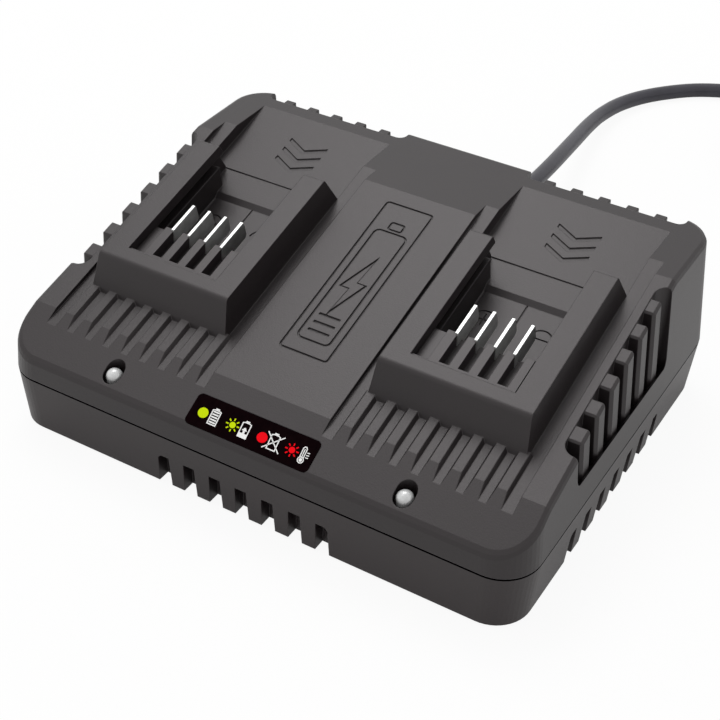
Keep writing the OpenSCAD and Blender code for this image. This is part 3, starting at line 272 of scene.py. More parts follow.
def diffusingPolycarbonate(spec):
    mat, shader = newMaterial("diffusingPolycarbonate")
    place = millimetres(mat)
    haze = addNode(mat, "ShaderNodeTexNoise", Vector=place, Scale=1 / spec["hazeMm"], Detail=3)
    split = addNode(mat, "ShaderNodeSeparateXYZ", Vector=place)
    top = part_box("status_lenses")[1].z / mm
    milk = addNode(mat, "ShaderNodeMapRange", Value=split.outputs["Z"],
                   From_Min=top - spec["skirtTop"][0], From_Max=top - spec["skirtTop"][1])
    stops = zip(noiseRange, (spec["shade"], spec["colour"]))
    core = addNode(mat, "ShaderNodeValToRGB", {"stops": stops}, Fac=haze.outputs["Fac"])
    # painted shade: below the milky top the colour turns grey for the dark bore seen through the
    # skirt
    tint = addNode(mat, "ShaderNodeMix", {"data_type": "RGBA"}, Factor=milk.outputs[0],
                   i6=linear(spec["skirtPaintedShade"]), i7=core.outputs[0])
    rough = addNode(mat, "ShaderNodeMapRange", Value=haze.outputs["Fac"], To_Min=spec["rough"][0],
                    To_Max=spec["rough"][1])
    feed(shader, Base_Color=tint.outputs[2], Roughness=rough.outputs[0], IOR=spec["ior"],
         Subsurface_Weight=spec["scatter"], Subsurface_Radius=(1, 1, 1),
         Subsurface_Scale=spec["scatterMm"] * mm, Coat_Weight=1, Coat_IOR=spec["skinIor"],
         Coat_Roughness=spec["skinRough"])
    return mat


# Polyester film with a gloss black print: dark and smooth, with the faint orange peel of the
# lacquer; its own shine is left out, because the black stays black under soft light
labelFilm = {"colour": "#110709", "shade": "#0c0507", "peelMm": 2.2, "peelDepthMm": 0.02,
             "bump": 0.08, "rough": (0.22, 0.3), "gloss": 0}


def printedFilm(spec):
    mat, shader = newMaterial("printedPolyesterFilm")
    peel = addNode(mat, "ShaderNodeTexNoise", Vector=millimetres(mat), Scale=1 / spec["peelMm"],
                   Detail=2)
    stops = zip(noiseRange, (spec["shade"], spec["colour"]))
    base = addNode(mat, "ShaderNodeValToRGB", {"stops": stops}, Fac=peel.outputs["Fac"])
    rough = addNode(mat, "ShaderNodeMapRange", Value=peel.outputs["Fac"], To_Min=spec["rough"][0],
                    To_Max=spec["rough"][1])
    bump = addNode(mat, "ShaderNodeBump", Strength=spec["bump"], Distance=spec["peelDepthMm"] * mm,
                   Height=peel.outputs["Fac"])
    feed(shader, Base_Color=base.outputs[0], Roughness=rough.outputs[0], Normal=bump.outputs[0],
         Specular_IOR_Level=spec["gloss"])
    return mat


# Screen-printed ink: flat and opaque, with the slight unevenness of the mesh it was pressed through
ink = {"meshMm": 0.3, "rough": (0.35, 0.5), "gloss": 0.05}


def screenInk(name, colour, shade):
    mat, shader = newMaterial(name)
    mesh = addNode(mat, "ShaderNodeTexNoise", Vector=millimetres(mat), Scale=1 / ink["meshMm"],
                   Detail=3)
    base = addNode(mat, "ShaderNodeValToRGB", {"stops": zip(noiseRange, (shade, colour))},
                   Fac=mesh.outputs["Fac"])
    rough = addNode(mat, "ShaderNodeMapRange", Value=mesh.outputs["Fac"], To_Min=ink["rough"][0],
                    To_Max=ink["rough"][1])
    feed(shader, Base_Color=base.outputs[0], Roughness=rough.outputs[0],
         Specular_IOR_Level=ink["gloss"])
    return mat


# Flexible PVC, extruded: dark bluish grey, dull, with a faint grain and wide scuffs
leadSheath = {"colour": "#403f46", "shade": "#39383e", "range": (0.35, 0.7), "grainMm": 0.6,
              "grainDepthMm": 0.05, "bump": 0.2, "scuffMm": 9, "rough": (0.32, 0.44), "ior": 1.53,
              "gloss": 0.25}


def extrudedPvc(spec):
    mat, shader = newMaterial("extrudedPvcSheath")
    grain = addNode(mat, "ShaderNodeTexNoise", Vector=millimetres(mat), Scale=1 / spec["grainMm"],
                    Detail=4)
    scuff = addNode(mat, "ShaderNodeTexNoise", Vector=millimetres(mat), Scale=1 / spec["scuffMm"],
                    Detail=4)
    stops = zip(spec["range"], (spec["shade"], spec["colour"]))
    base = addNode(mat, "ShaderNodeValToRGB", {"stops": stops}, Fac=scuff.outputs["Fac"])
    rough = addNode(mat, "ShaderNodeMapRange", Value=scuff.outputs["Fac"], To_Min=spec["rough"][0],
                    To_Max=spec["rough"][1])
    bump = addNode(mat, "ShaderNodeBump", Strength=spec["bump"], Distance=spec["grainDepthMm"] * mm,
                   Height=grain.outputs["Fac"])
    feed(shader, Base_Color=base.outputs[0], Roughness=rough.outputs[0], Normal=bump.outputs[0],
         IOR=spec["ior"], Specular_IOR_Level=spec["gloss"])
    return mat


leadPvc = extrudedPvc(leadSheath)
print("outer materials made")

# The mains lead, in millimetres: its free route from the strain relief, the coil, and the tail that
# ends in the plug
lead = {
    "diameter": 7.5,
    "length": 1.72,                 # metres
    "route": [
        (0, 86, 25.2), (0, 102, 25.2), (0, 118, 25.2), (0.8, 133, 24.7), (0.8, 148, 23.7),
        (0, 162, 22.2), (-1.2, 176, 20.4), (-2.8, 190, 18.3), (-4.6, 204, 15.9), (-6.5, 218, 13.4),
        (-8.2, 231, 11.2), (-9.4, 243, 9.2), (-9.8, 256, 7.4), (-8, 273, 5.6), (-2.5, 289, 4.4),
        (6.5, 303, 3.75), (19, 315, 3.75), (34, 323.5, 3.75), (50, 328, 3.75), (66, 330, 3.75),
        (88, 330, 3.75),
    ],
    "coilAt": (110, 282),
    "rings": ((48, 3.75), (40.5, 3.75), (33, 3.75), (33, 11.25), (40.5, 11.25), (48, 11.25)),
    "turns": 5,
    "turnSteps": 72,
    "roundness": 5,                 # steps in each quarter of the lead's section
    "ringTurn": 300,                # degrees from the start of one ring to the start of the next
    "crossing": 180,                # degrees over which the lead goes from ring to ring
    "tail": [
        (122, 330, 11.2), (134, 329.4, 10.4), (146, 327, 8.7), (157, 322.3, 6.7), (166, 315.5, 5.1),
        (173, 307, 4.2), (178, 297, 4), (181, 286, 4.6), (182, 276, 5.8), (182, 268, 6.9),
    ],
}


# The coil runs clockwise, in two layers of three rings given by radius and height. It takes half a
# turn to cross to its next ring, so that no bend is tighter than four diameters
def coilPoints():
    points = []
    for i in range(lead["turns"] * lead["turnSteps"] + 1):
        turned = 360 * i / lead["turnSteps"]
        ring = min(int(turned // lead["ringTurn"]), len(lead["rings"]) - 1)
        t = min((turned - lead["ringTurn"] * ring) / lead["crossing"], 1) if ring else 1
        ease = t * t * (3 - 2 * t)
        before, after = lead["rings"][max(ring - 1, 0)], lead["rings"][ring]
        radius = before[0] + (after[0] - before[0]) * ease
        height = before[1] + (after[1] - before[1]) * ease
        angle = math.radians(turned)
        points.append((lead["coilAt"][0] + radius * math.sin(angle),
                       lead["coilAt"][1] + radius * math.cos(angle), height))
    return points


# A smooth run through given points, sampled every few millimetres
def smoothRun(points, each=4):
    out = []
    for i in range(len(points) - 1):
        a, b = Vector(points[max(i - 1, 0)]), Vector(points[i])
        c, d = Vector(points[i + 1]), Vector(points[min(i + 2, len(points) - 1)])
        for k in range(each):
            t = k / each
            out.append(0.5 * ((2 * b) + (c - a) * t + (2 * a - 5 * b + 4 * c - d) * t * t
                              + (3 * b - a - 3 * c + d) * t * t * t))
    out.append(Vector(points[-1]))
    return out


def makeLead():
    coil = coilPoints()
    way = smoothRun(lead["route"] + [coil[0]])[:-1] + [Vector(p) for p in coil]
    way += smoothRun([coil[-1]] + lead["tail"])[1:]
    data = bpy.data.curves.new("mainsLead", "CURVE")
    data.dimensions = "3D"
    data.bevel_depth = lead["diameter"] / 2 * mm
    data.bevel_resolution = lead["roundness"]
    data.use_fill_caps = True
    spline = data.splines.new("POLY")
    spline.points.add(len(way) - 1)
    for point, place in zip(spline.points, way):
        point.co = (*(place * mm), 1)
    spline.use_smooth = True
    obj = bpy.data.objects.new("mainsLead", data)
    bpy.context.scene.collection.objects.link(obj)
    obj.data.materials.append(leadPvc)
    return obj


def meshObject(name, bm, material, smooth=True):
    data = bpy.data.meshes.new(name)
    bmesh.ops.recalc_face_normals(bm, faces=bm.faces)
    for face in bm.faces:
        face.smooth = smooth
    bm.to_mesh(data)
    bm.free()
    obj = bpy.data.objects.new(name, data)
    bpy.context.scene.collection.objects.link(obj)
    obj.data.materials.append(material)
    return obj


# Joins closed rings of points into a skin, with an end cap at either end
def loft(bm, rings):
    made = [[bm.verts.new(p) for p in ring] for ring in rings]
    count = len(made[0])
    for a, b in zip(made, made[1:]):
        for k in range(count):
            bm.faces.new((a[k], a[(k + 1) % count], b[(k + 1) % count], b[k]))
    bm.faces.new(made[0][::-1])
    bm.faces.new(made[-1])


# Two-pin plug, lying flat: a soft wedge from the lead's neck to the wide face that holds the pins
plug = {
    "at": lead["tail"][-1],
    "sections": (                   # distance from the neck, half width, half height, squareness
        (0, 4.6, 4.6, 2), (0.6, 5, 5, 2), (4, 5.6, 5.4, 2), (9, 6.6, 5.9, 2.2), (14, 8.4, 6.4, 2.4),
        (19, 11.4, 6.7, 2.8), (24, 15.4, 6.85, 3.4), (28, 17.1, 6.9, 4), (34, 17.5, 6.9, 4.4),
        (40, 17.5, 6.9, 4.4), (43, 16.6, 6.8, 4), (45.2, 15.2, 6.3, 3.6), (46, 14.2, 5.6, 3.4),
    ),
    "ringPoints": 48,
    "pinApart": 18.4,
    "pinSteps": 32,
    "pin": (                        # radius, distance from the plug's face
        (1.95, 0.2), (1.95, 9.5), (1.95, 17), (1.8, 18), (1.3, 18.75), (0.7, 19),
    ),
    "sleeve": ((1.9, -0.4), (2, -0.4), (2, 0), (2, 9.2), (1.96, 9.5)),
}


def plugRing(distance, wide, high, square):
    x0, y0, z0 = plug["at"]
    ring = []
    for k in range(plug["ringPoints"]):
        a = 2 * math.pi * k / plug["ringPoints"]
        c, s = math.cos(a), math.sin(a)
        x = wide * math.copysign(abs(c) ** (2 / square), c)
        z = high * math.copysign(abs(s) ** (2 / square), s)
        ring.append(Vector((x0 + x, y0 - distance, z0 + z)) * mm)
    return ring


def makePlugBody():
    bm = bmesh.new()
    loft(bm, [plugRing(*section) for section in plug["sections"]])
    obj = meshObject("plugMoulding", bm, plugPvc)
    obj.modifiers.new("roundOff", "SUBSURF").levels = 1
    return obj


# Turns a profile of (radius, distance) about a line that runs towards -y
def turnedPiece(name, profile, at, material):
    bm = bmesh.new()
    x0, y0, z0 = at
    steps = plug["pinSteps"]
    around = [2 * math.pi * k / steps for k in range(steps)]
    loft(bm, [[Vector((x0 + r * math.cos(a), y0 - d, z0 + r * math.sin(a))) * mm for a in around]
              for r, d in profile])
    return meshObject(name, bm, material)


def makePins():
    pins, sleeves = [], []
    x0, y0, z0 = plug["at"]
    face = y0 - plug["sections"][-1][0]
    for i, side in enumerate((-1, 1)):
        at = (x0 + side * plug["pinApart"] / 2, face, z0)
        pins.append(turnedPiece("plugPin%d" % i, plug["pin"], at, nickelBrass))
        sleeves.append(turnedPiece("pinSleeve%d" % i, plug["sleeve"], at, plugPvc))
    return pins, sleeves


mainsLead = makeLead()
plugMoulding = makePlugBody()
pins, sleeves = makePins()
for piece in [mainsLead, plugMoulding, *pins, *sleeves]:
    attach(piece, "root")
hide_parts("mains_cord", "cord_coil")
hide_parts("plug_body")
for pin in pins:
    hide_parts("plug_pins")
print("lead and plug made")

# The status label: symbols printed on its film, in millimetres across and up the front slope
label = {
    "across": 0.7,                  # how far the row is moved to the left
    "row": -0.6,                    # its middle, from the film's
    "lean": -0.075,                 # how far the symbols lean to the left as they rise
    "print": (-0.02, 0.03),         # the ink's underside and top, from the film's surface
    "edge": 0.3,                    # how far in the corners of the film's front edge reach
    "line": 0.42,
    "dots": ((-20.1, "green"), (5.3, "red")),
    "dotSize": (2.12, 1.98),
    "suns": ((-7.3, "green"), (17.8, "red")),
    "sun": {"core": (1.25, 1.2), "corePoints": 24, "rays": 8, "rayFrom": (1.75, 1.65),
            "rayTo": (2.8, 2.6), "rayLine": 0.5},
    "batteries": ((-15.2, "full"), (-2.15, "charging"), (10.1, "crossed")),
    "battery": {"drop": 0.1, "wide": 3.85, "high": 6.1, "cap": (1.6, 0.6), "capSink": 0.1,
                "shoulder": 0.35, "shoulderInside": 0.6},
    "bars": {"count": 5, "first": 1.05, "pitch": 1.02, "gap": 0.4, "high": 0.56},
    "charge": {"fill": 1.35, "stem": (0.85, 1.2), "stemAt": 0.55, "tipAt": 2.2, "head": (1.1, 1.15),
               "blunt": 0.25},
    "cross": (3.5, 3.2),
    "thermometer": {"at": 22.3, "bulbAt": -2.1, "bulb": 1.3, "filled": 0.68, "filledPoints": 20,
                    "wall": 0.36, "half": 0.92, "top": 3.1, "neck": 0.3, "column": 0.36,
                    "columnEnds": (0.5, 1), "outer": (0.7, 0.4), "inner": (0.85, 0.2)},
    "marks": {"count": 3, "from": (1.3, -0.75), "to": (2.4, -0.6), "pitch": 0.93, "line": 0.36},
}
inks = {
    "white": screenInk("screenInkWhite", "#f6f6f5", "#ececea"),
    "green": screenInk("screenInkLime", "#cfe600", "#c3da00"),
    "red": screenInk("screenInkRed", "#f80016", "#ea0012"),
}


# The label's own plane, worked out from its solid: the top face's middle and its slope
def labelFrame():
    places = [v.co for v in nodes["status_label"].data.vertices]
    frontEdge = min(v.y for v in places) + label["edge"] * mm
    front = max((v for v in places if v.y < frontEdge), key=lambda v: v.z)
    rear = max(places, key=lambda v: v.z)
    run = Vector((0, rear.y - front.y, rear.z - front.z)).normalized()
    middle = (Vector((0, front.y, front.z)) + Vector((0, rear.y, rear.z))) / 2
    middle.x = (min(v.x for v in places) + max(v.x for v in places)) / 2
    return middle, run, Vector((1, 0, 0)).cross(run)


labelMiddle, labelUp, labelOut = labelFrame()


def onLabel(x, y, out):
    x += label["lean"] * y - label["across"]
    return labelMiddle + Vector((x, 0, 0)) * mm + labelUp * y * mm + labelOut * out * mm


# A thin slab of print from one closed outline of points
def printShape(bm, outline):
    low, high = ([bm.verts.new(onLabel(x, y, out)) for x, y in outline] for out in label["print"])
    count = len(outline)
    bm.faces.new(high)
    bm.faces.new(low[::-1])
    for k in range(count):
        bm.faces.new((low[k], low[(k + 1) % count], high[(k + 1) % count], high[k]))


def printRing(bm, outline, inner):
    count = len(outline)
    for k in range(count):
        j = (k + 1) % count
        printShape(bm, [outline[k], outline[j], inner[j], inner[k]])


def printLine(bm, a, b, width):
    a, b = Vector(a), Vector(b)
    side = Vector((a.y - b.y, b.x - a.x)).normalized() * width / 2
    printShape(bm, [a - side, b - side, b + side, a + side])


def circle(x, y, wide, high, points=28):
    turns = [2 * math.pi * k / points for k in range(points)]
    return [(x + wide * math.cos(a), y + high * math.sin(a)) for a in turns]


def rectangle(x, y, w, h):
    return [(x - w / 2, y - h / 2), (x + w / 2, y - h / 2), (x + w / 2, y + h / 2),
            (x - w / 2, y + h / 2)]


def printSun(bm, x, y):
    sun = label["sun"]
    printShape(bm, circle(x, y, *sun["core"], sun["corePoints"]))
    for k in range(sun["rays"]):
        a = 2 * math.pi * k / sun["rays"]
        ends = [(x + wide * math.cos(a), y + high * math.sin(a))
                for wide, high in (sun["rayFrom"], sun["rayTo"])]
        printLine(bm, *ends, sun["rayLine"])


# A battery seen from its side: its shoulders slope up to one cap
def printBattery(bm, x, y, state):
    battery, line = label["battery"], label["line"]
    w, (capWide, capHigh) = battery["wide"], battery["cap"]
    foot, top = y - battery["high"] / 2, y + battery["high"] / 2

    def body(inset):
        wide, half = w / 2 - inset, capWide / 2
        shoulder = top - battery["shoulder"] - inset * battery["shoulderInside"]
        return [(x - wide, foot + inset), (x + wide, foot + inset), (x + wide, shoulder),
                (x + half, top - inset), (x - half, top - inset), (x - wide, shoulder)]

    printRing(bm, body(0), body(line))
    printShape(bm, rectangle(x, top + capHigh / 2 - battery["capSink"], capWide, capHigh))
    if state == "full":
        bars = label["bars"]
        for k in range(bars["count"]):
            printShape(bm, rectangle(x, foot + bars["first"] + bars["pitch"] * k,
                                     w - 2 * line - bars["gap"], bars["high"]))
    if state == "charging":
        charge = label["charge"]
        fill = charge["fill"]
        printShape(bm, rectangle(x, foot + line + fill / 2, w - 2 * line, fill))
        printShape(bm, rectangle(x, foot + line + fill + charge["stemAt"], *charge["stem"]))
        tip = foot + line + fill + charge["tipAt"]
        (half, high), blunt = charge["head"], charge["blunt"]
        printShape(bm, [(x - half, tip - high), (x + half, tip - high), (x + blunt, tip),
                        (x - blunt, tip)])
    if state == "crossed":
        wide, high = label["cross"]
        for s in (-1, 1):
            printLine(bm, (x - wide, y - s * high), (x + wide, y + s * high), line)


# A thermometer: a ring with a full bulb in it, a column between the walls of the stem, and marks
def printThermometer(bm, y):
    spec, marks = label["thermometer"], label["marks"]
    x, bulb, wall, half = spec["at"], spec["bulb"], spec["wall"], spec["half"]
    ring, top = (x, y + spec["bulbAt"]), y + spec["top"]
    neck = ring[1] + bulb - spec["neck"]

    def stem(wide, high, shoulder, crown):
        return [(x - wide, neck), (x - wide, top - shoulder), (x - crown, high), (x + crown, high),
                (x + wide, top - shoulder), (x + wide, neck)]

    printRing(bm, circle(*ring, bulb, bulb), circle(*ring, bulb - wall, bulb - wall))
    printShape(bm, circle(*ring, spec["filled"], spec["filled"], spec["filledPoints"]))
    outside, inside = stem(half, top, *spec["outer"]), stem(half - wall, top - wall, *spec["inner"])
    for k in range(len(outside) - 1):
        printShape(bm, [outside[k], outside[k + 1], inside[k + 1], inside[k]])
    low, high = neck - spec["columnEnds"][0], top - spec["columnEnds"][1]
    printShape(bm, rectangle(x, (low + high) / 2, spec["column"], high - low))
    for k in range(marks["count"]):
        (x0, y0), (x1, y1) = marks["from"], marks["to"]
        rise = y + marks["pitch"] * k
        printLine(bm, (x + x0, rise + y0), (x + x1, rise + y1), marks["line"])


def makeSymbols():
    y = label["row"]
    bm = bmesh.new()
    for x, state in label["batteries"]:
        printBattery(bm, x, y - label["battery"]["drop"], state)
    printThermometer(bm, y)
    made = [meshObject("labelSymbols", bm, inks["white"], smooth=False)]
    for colour in ("green", "red"):
        bm = bmesh.new()
        for x, which in label["dots"]:
            if which == colour:
                printShape(bm, circle(x, y, *label["dotSize"]))
        for x, which in label["suns"]:
            if which == colour:
                printSun(bm, x, y)
        made.append(meshObject("labelLights_" + colour, bm, inks[colour], smooth=False))
    return made


for piece in makeSymbols():
    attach(piece, "root")
print("label symbols made")


# Laminate under solder resist: green gloss, with the copper tracks showing through as lighter lanes
boardLaminate = {
    "resist": ("#1b5a35", "#1f643b"), "track": "#2f8350", "laneMm": 9, "trackWide": 0.06,
    "trackSoft": 0.1, "brick": (0.9, 0.3), "weaveMm": 0.5, "weave": 0.12, "rough": (0.28, 0.38),
    "bump": 0.4, "copperMm": 0.04,
}


def solderResist(spec):
    mat, shader = newMaterial("solderResistLaminate")
    place = millimetres(mat)
    tracks = addNode(mat, "ShaderNodeTexBrick", {"offset": 0.5}, Vector=place,
                     Scale=1 / spec["laneMm"], Mortar_Size=spec["trackWide"],
                     Mortar_Smooth=spec["trackSoft"], Brick_Width=spec["brick"][0],
                     Row_Height=spec["brick"][1], Color1=linear(spec["resist"][0]),
                     Color2=linear(spec["resist"][1]), Mortar=linear(spec["track"]))
    weave = addNode(mat, "ShaderNodeTexChecker", Vector=place, Scale=1 / spec["weaveMm"])
    faint = addNode(mat, "ShaderNodeMix", {"data_type": "RGBA", "blend_type": "MULTIPLY"},
                    Factor=spec["weave"], i6=tracks.outputs["Color"], i7=weave.outputs["Color"])
    rough = addNode(mat, "ShaderNodeMapRange", Value=tracks.outputs["Fac"], To_Min=spec["rough"][0],
                    To_Max=spec["rough"][1])
    bump = addNode(mat, "ShaderNodeBump", Strength=spec["bump"], Distance=spec["copperMm"] * mm,
                   Height=tracks.outputs["Fac"])
    feed(shader, Base_Color=faint.outputs[2], Roughness=rough.outputs[0], Normal=bump.outputs[0])
    return mat


# Ceramic fuse tube with pressed metal caps
fuseTube = {"ceramic": ("#d9d2bd", "#e6e0cc"), "cap": ("#b9bbbc", "#cfd1d2"), "cloudMm": 1.2,
            "capFrom": 5.2, "rough": (0.25, 0.4)}
# An aluminium can in a shrink sleeve, dark blue and glossy; the disc at its top is left bare
sleevedCan = {"sleeve": ("#1b2745", "#24335a"), "disc": ("#b4b7ba", "#ced1d3"), "cloudMm": 4,
              "rough": (0.22, 0.36)}


# A body with a bare metal part: where is a mask node, whose output is 1 on the metal
def partMetal(mat, shader, where, cloud, body, metal, rough):
    colours = [addNode(mat, "ShaderNodeValToRGB", {"stops": zip(noiseRange, tones)},
                       Fac=cloud.outputs["Fac"]) for tones in (body, metal)]
    both = addNode(mat, "ShaderNodeMix", {"data_type": "RGBA"}, Factor=where.outputs[0],
                   i6=colours[0].outputs[0], i7=colours[1].outputs[0])
    swing = addNode(mat, "ShaderNodeMapRange", Value=cloud.outputs["Fac"], To_Min=rough[0],
                    To_Max=rough[1])
    feed(shader, Base_Color=both.outputs[2], Metallic=where.outputs[0], Roughness=swing.outputs[0])


def cappedFuse(spec):
    mat, shader = newMaterial("ceramicTubeWithCaps")
    place = millimetres(mat)
    low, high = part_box("fuse")
    split = addNode(mat, "ShaderNodeSeparateXYZ", Vector=place)
    away = addNode(mat, "ShaderNodeMath", {"operation": "SUBTRACT"}, i0=split.outputs["X"],
                   i1=(low.x + high.x) / 2 / mm)
    far = addNode(mat, "ShaderNodeMath", {"operation": "ABSOLUTE"}, i0=away.outputs[0])
    cap = addNode(mat, "ShaderNodeMath", {"operation": "GREATER_THAN"}, i0=far.outputs[0],
                  i1=spec["capFrom"])
    cloud = addNode(mat, "ShaderNodeTexNoise", Vector=place, Scale=1 / spec["cloudMm"], Detail=3)
    partMetal(mat, shader, cap, cloud, spec["ceramic"], spec["cap"], spec["rough"])
    return mat


def cannedCapacitor(name, piece, discMm, spec=sleevedCan):
    mat, shader = newMaterial(name)
    place = millimetres(mat)
    split = addNode(mat, "ShaderNodeSeparateXYZ", Vector=place)
    bare = addNode(mat, "ShaderNodeMath", {"operation": "GREATER_THAN"}, i0=split.outputs["Z"],
                   i1=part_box(piece)[1].z / mm - discMm)
    cloud = addNode(mat, "ShaderNodeTexNoise", Vector=place, Scale=1 / spec["cloudMm"], Detail=4)
    partMetal(mat, shader, bare, cloud, spec["sleeve"], spec["disc"], spec["rough"])
    return mat


# Enamelled copper wire, wound: warm metal in fine bands at the wire's pitch
copperWinding = {"pitchMm": 1.2, "wander": 0.6, "colour": "#c9713c", "shade": "#a85a2c",
                 "rough": 0.28, "metallic": 1}
# Polyester tape over a winding: amber gloss in wide laps
windingTape = {"pitchMm": 5.5, "wander": 0.2, "colour": "#dba637", "shade": "#c28f26", "rough": 0.3,
               "metallic": 0}
# What both share; a wave texture of scale 1 repeats every 0.314
banding = {"period": 0.314, "cloudMm": 6, "cloudShare": 0.4, "bandShare": (0.1, 0.5),
           "range": (0.2, 0.8), "roughSpread": 0.06, "bump": 0.4, "depthMm": 0.1}


def bandedSkin(name, spec):
    mat, shader = newMaterial(name)
    place = millimetres(mat)
    wave = addNode(mat, "ShaderNodeTexWave", {"bands_direction": "Z", "wave_type": "BANDS"},
                   Vector=place, Scale=banding["period"] / spec["pitchMm"],
                   Distortion=spec["wander"])
    cloud = addNode(mat, "ShaderNodeTexNoise", Vector=place, Scale=1 / banding["cloudMm"], Detail=3)
    bands = addNode(mat, "ShaderNodeMapRange", Value=wave.outputs["Fac"],
                    To_Min=banding["bandShare"][0], To_Max=banding["bandShare"][1])
    mixed = addNode(mat, "ShaderNodeMath", {"operation": "MULTIPLY_ADD"}, i0=cloud.outputs["Fac"],
                    i1=banding["cloudShare"], i2=bands.outputs[0])
    stops = zip(banding["range"], (spec["shade"], spec["colour"]))
    base = addNode(mat, "ShaderNodeValToRGB", {"stops": stops}, Fac=mixed.outputs[0])
    rough = addNode(mat, "ShaderNodeMapRange", Value=cloud.outputs["Fac"],
                    To_Min=spec["rough"] - banding["roughSpread"],
                    To_Max=spec["rough"] + banding["roughSpread"])
    bump = addNode(mat, "ShaderNodeBump", Strength=banding["bump"],
                   Distance=banding["depthMm"] * mm, Height=wave.outputs["Fac"])
    feed(shader, Base_Color=base.outputs[0], Roughness=rough.outputs[0], Normal=bump.outputs[0],
         Metallic=spec["metallic"])
    return mat


# The plainer moulded and coated parts inside: their colour, finish and grain, over a small drift
def polymer(name, colour, shade, rough=0.45, grainMm=0.5, driftMm=12):
    return mouldedPolymer(name, {**upperNylon, "colour": colour, "shade": shade,
                                 "edgeWearAndHighlightColour": colour, "rough": rough, "grainMm": grainMm,
                                 "driftMm": driftMm})


# Steel, headed and rolled, then zinc plated: grey with a blue cast, and fine lines round the shank
screwSteel = {**contactBronze, "colour": "#b9bdc2", "shade": "#8e9297", "stretch": (1, 1, 0.2),
              "rough": 0.35}
# Aluminium, extruded: pale, with straight lines along the way it was pushed
sinkAluminium = {**contactBronze, "colour": "#c9ccd0", "shade": "#a4a8ad",
                 "stretch": (1, 1, 0.05), "lineMm": 0.4, "rough": 0.38}
# Brass, pressed and thinly tinned: the yellow shows through
clipBrass = {**contactBronze, "colour": "#d9c48f", "shade": "#b89f62"}

laminate = solderResist(boardLaminate)
zincSteel = workedMetal("zincPlatedSteel", screwSteel)
aluminium = workedMetal("extrudedAluminium", sinkAluminium)
naturalNylon = polymer("naturalNylon", "#e6e2d4", "#dcd7c6", 0.5)
blackEpoxy = polymer("mouldedEpoxyBlack", "#2b2b2e", "#242427", 0.5, 0.25)
redPvc = polymer("extrudedPvcRed", "#a82a28", "#97211f", 0.4)
copper = bandedSkin("enamelledCopper", copperWinding)
finishes = {
    "upper_housing": upperCase,
    "lower_housing": lowerCase,
    "terminal_block_left": terminalCase,
    "terminal_block_right": terminalCase,
    "contact_blades_left": tinnedBronze,
    "contact_blades_right": tinnedBronze,
    "status_lenses": diffusingPolycarbonate(lensPolycarbonate),
    "status_label": printedFilm(labelFilm),
    "light_boards": laminate,
    "main_board": laminate,
    "light_emitters": polymer("phosphorEpoxy", "#efe6a0", "#e5d988", 0.3, 0.2),
    "light_leads": redPvc,
    "output_leads": redPvc,
    "rubber_feet": polymer("mouldedRubber", "#232323", "#1c1c1c", 0.7, 0.6),
    "housing_screws": zincSteel,
    "board_screws": zincSteel,
    "clamp_screws": zincSteel,
    "mains_header": naturalNylon,
    "output_headers": naturalNylon,
    "fuse": cappedFuse(fuseTube),
    "fuse_clips": workedMetal("tinnedBrassClip", clipBrass),
    "film_capacitor": polymer("filledPolyesterBox", "#c08f28", "#b38320", 0.35, 0.6),
    "input_choke_core": polymer("epoxyCoatedFerrite", "#2f7046", "#28623c", 0.4, 0.8),
    "output_choke_core": polymer("coatedPowderIron", "#c6b035", "#b9a22b", 0.4, 0.8),
    "input_choke_windings": copper,
    "output_choke_winding": copper,
    "bridge_rectifier": blackEpoxy,
    "power_transistor": blackEpoxy,
    "output_diode": blackEpoxy,
    "controller_chip": blackEpoxy,
    "bulk_capacitor": cannedCapacitor("shrinkSleevedCan", "bulk_capacitor", 0.9),
    "output_capacitors": cannedCapacitor("shrinkSleevedCanSmall", "output_capacitors", 0.5),
    "primary_heat_sink": aluminium,
    "secondary_heat_sink": aluminium,
    "transformer_core": polymer("groundFerrite", "#3e4043", "#353739", 0.55, 0.3),
    "transformer_bobbin": polymer("mouldedPhenolic", "#2a2a2b", "#232324"),
    "transformer_windings": bandedSkin("polyesterTape", windingTape),
    "output_relays": polymer("relayCoverBlue", "#2c4d8c", "#25437c", 0.35),
    "cord_clamp": terminalCase,
    "inner_mains_lead": leadPvc,
    "strain_relief": plugPvc,
    "mains_cord": leadPvc,
    "cord_coil": leadPvc,
    "plug_body": plugPvc,
    "plug_pins": nickelBrass,
}
for name, obj in nodes.items():
    obj.data.materials.clear()
    obj.data.materials.append(finishes[name])
print("finishes given to", len(nodes), "nodes")

# Studio: a pale floor under a white world, a large soft lamp above and behind, a second one above
# on the left, and two weak fills from the right and the front
studio = {
    "aim": (0, 0, 0.03),
    "lamps": {
        "key": {"way": (-0.31, 0.34, 0.88), "far": 2.2, "size": (1.1, 1.1), "power": 17.3},
        "top": {"way": (-0.42, -0.19, 0.89), "far": 2.2, "size": (1.1, 1.1), "power": 4.6},
        "side": {"way": (0.95, 0.05, 0.35), "far": 1.2, "size": (0.7, 0.5), "power": 0.3},
        "front": {"way": (-0.25, -0.9, 0.35), "far": 1.3, "size": (0.8, 0.5), "power": 0.2},
    },
    "worldForLight": 0.65,
    "floorHalf": 4,
    "floorColour": ("#f3f3f2", "#f6f6f5"),
    "floorMottleMm": 60,
    "floorRough": 0.9,
    "floorGloss": 0.1,
    "floorToCamera": 0.92,          # how much of the floor is plain white to the camera
    "floorInReflections": 0.35,     # and in reflections
}


def makeLamp(name, spec):
    data = bpy.data.lights.new(name, "AREA")
    data.shape = "RECTANGLE"
    data.size, data.size_y = spec["size"]
    data.energy = spec["power"]
    obj = bpy.data.objects.new(name, data)
    bpy.context.scene.collection.objects.link(obj)
    way = Vector(spec["way"]).normalized()
    obj.location = Vector(studio["aim"]) + way * spec["far"]
    obj.rotation_euler = way.to_track_quat("Z", "Y").to_euler()


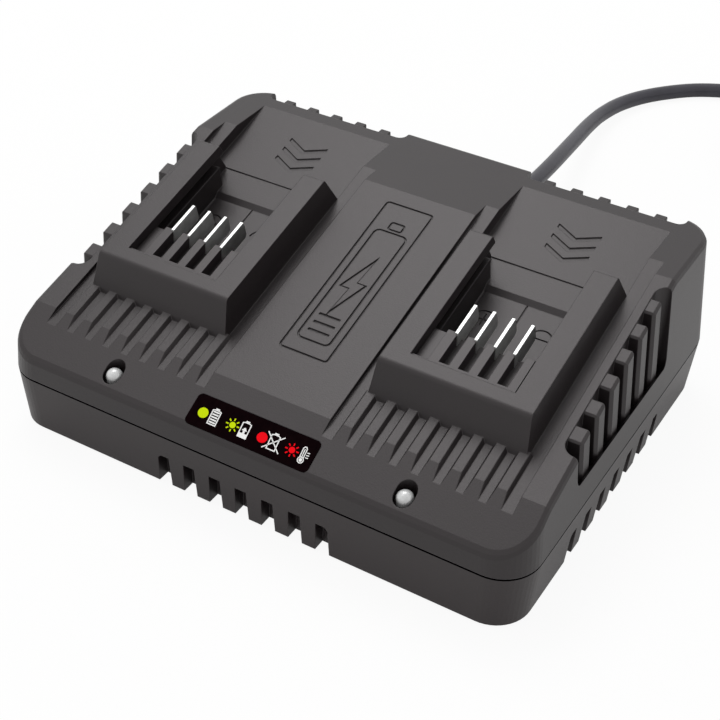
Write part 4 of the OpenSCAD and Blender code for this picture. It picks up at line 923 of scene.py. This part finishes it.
# Matt paint, rolled, with a faint mottle. It keeps a soft shadow, and a share of it turns to plain
# white in what the camera and the reflections see
def makeFloor():
    mat, shader = newMaterial("paintedFloor")
    mottle = addNode(mat, "ShaderNodeTexNoise", Vector=millimetres(mat),
                     Scale=1 / studio["floorMottleMm"], Detail=3)
    stops = zip(noiseRange, studio["floorColour"])
    base = addNode(mat, "ShaderNodeValToRGB", {"stops": stops}, Fac=mottle.outputs["Fac"])
    feed(shader, Base_Color=base.outputs[0], Roughness=studio["floorRough"],
         Specular_IOR_Level=studio["floorGloss"])
    white = addNode(mat, "ShaderNodeEmission", Color=linear("#ffffff"), Strength=1)
    path = addNode(mat, "ShaderNodeLightPath")
    seen = addNode(mat, "ShaderNodeMath", {"operation": "MULTIPLY"},
                   i0=path.outputs["Is Camera Ray"], i1=studio["floorToCamera"])
    share = addNode(mat, "ShaderNodeMath", {"operation": "MULTIPLY_ADD"},
                    i0=path.outputs["Is Glossy Ray"], i1=studio["floorInReflections"],
                    i2=seen.outputs[0])
    mixed = addNode(mat, "ShaderNodeMixShader", i0=share.outputs[0], i1=shader.outputs[0],
                    i2=white.outputs[0])
    feed(mat.node_tree.nodes["Material Output"], Surface=mixed.outputs[0])
    bm = bmesh.new()
    bmesh.ops.create_grid(bm, x_segments=1, y_segments=1, size=studio["floorHalf"])
    meshObject("studioFloor", bm, mat, smooth=False)


# White to the camera, in glass and in reflections, and a little dimmer as a light
def makeWorld():
    world = bpy.data.worlds.new("studioWorld")
    bpy.context.scene.world = world
    world.use_nodes = True
    path = addNode(world, "ShaderNodeLightPath")
    seen = addNode(world, "ShaderNodeMath", {"operation": "MAXIMUM"},
                   i0=path.outputs["Is Camera Ray"], i1=path.outputs["Is Transmission Ray"])
    both = addNode(world, "ShaderNodeMath", {"operation": "MAXIMUM"}, i0=seen.outputs[0],
                   i1=path.outputs["Is Glossy Ray"])
    level = addNode(world, "ShaderNodeMapRange", Value=both.outputs[0],
                    To_Min=studio["worldForLight"])
    feed(world.node_tree.nodes["Background"], Color=linear("#ffffff"), Strength=level.outputs[0])


for name, spec in studio["lamps"].items():
    makeLamp(name, spec)
makeFloor()
makeWorld()
bpy.context.scene.view_settings.view_transform = "Standard"
print("studio made")
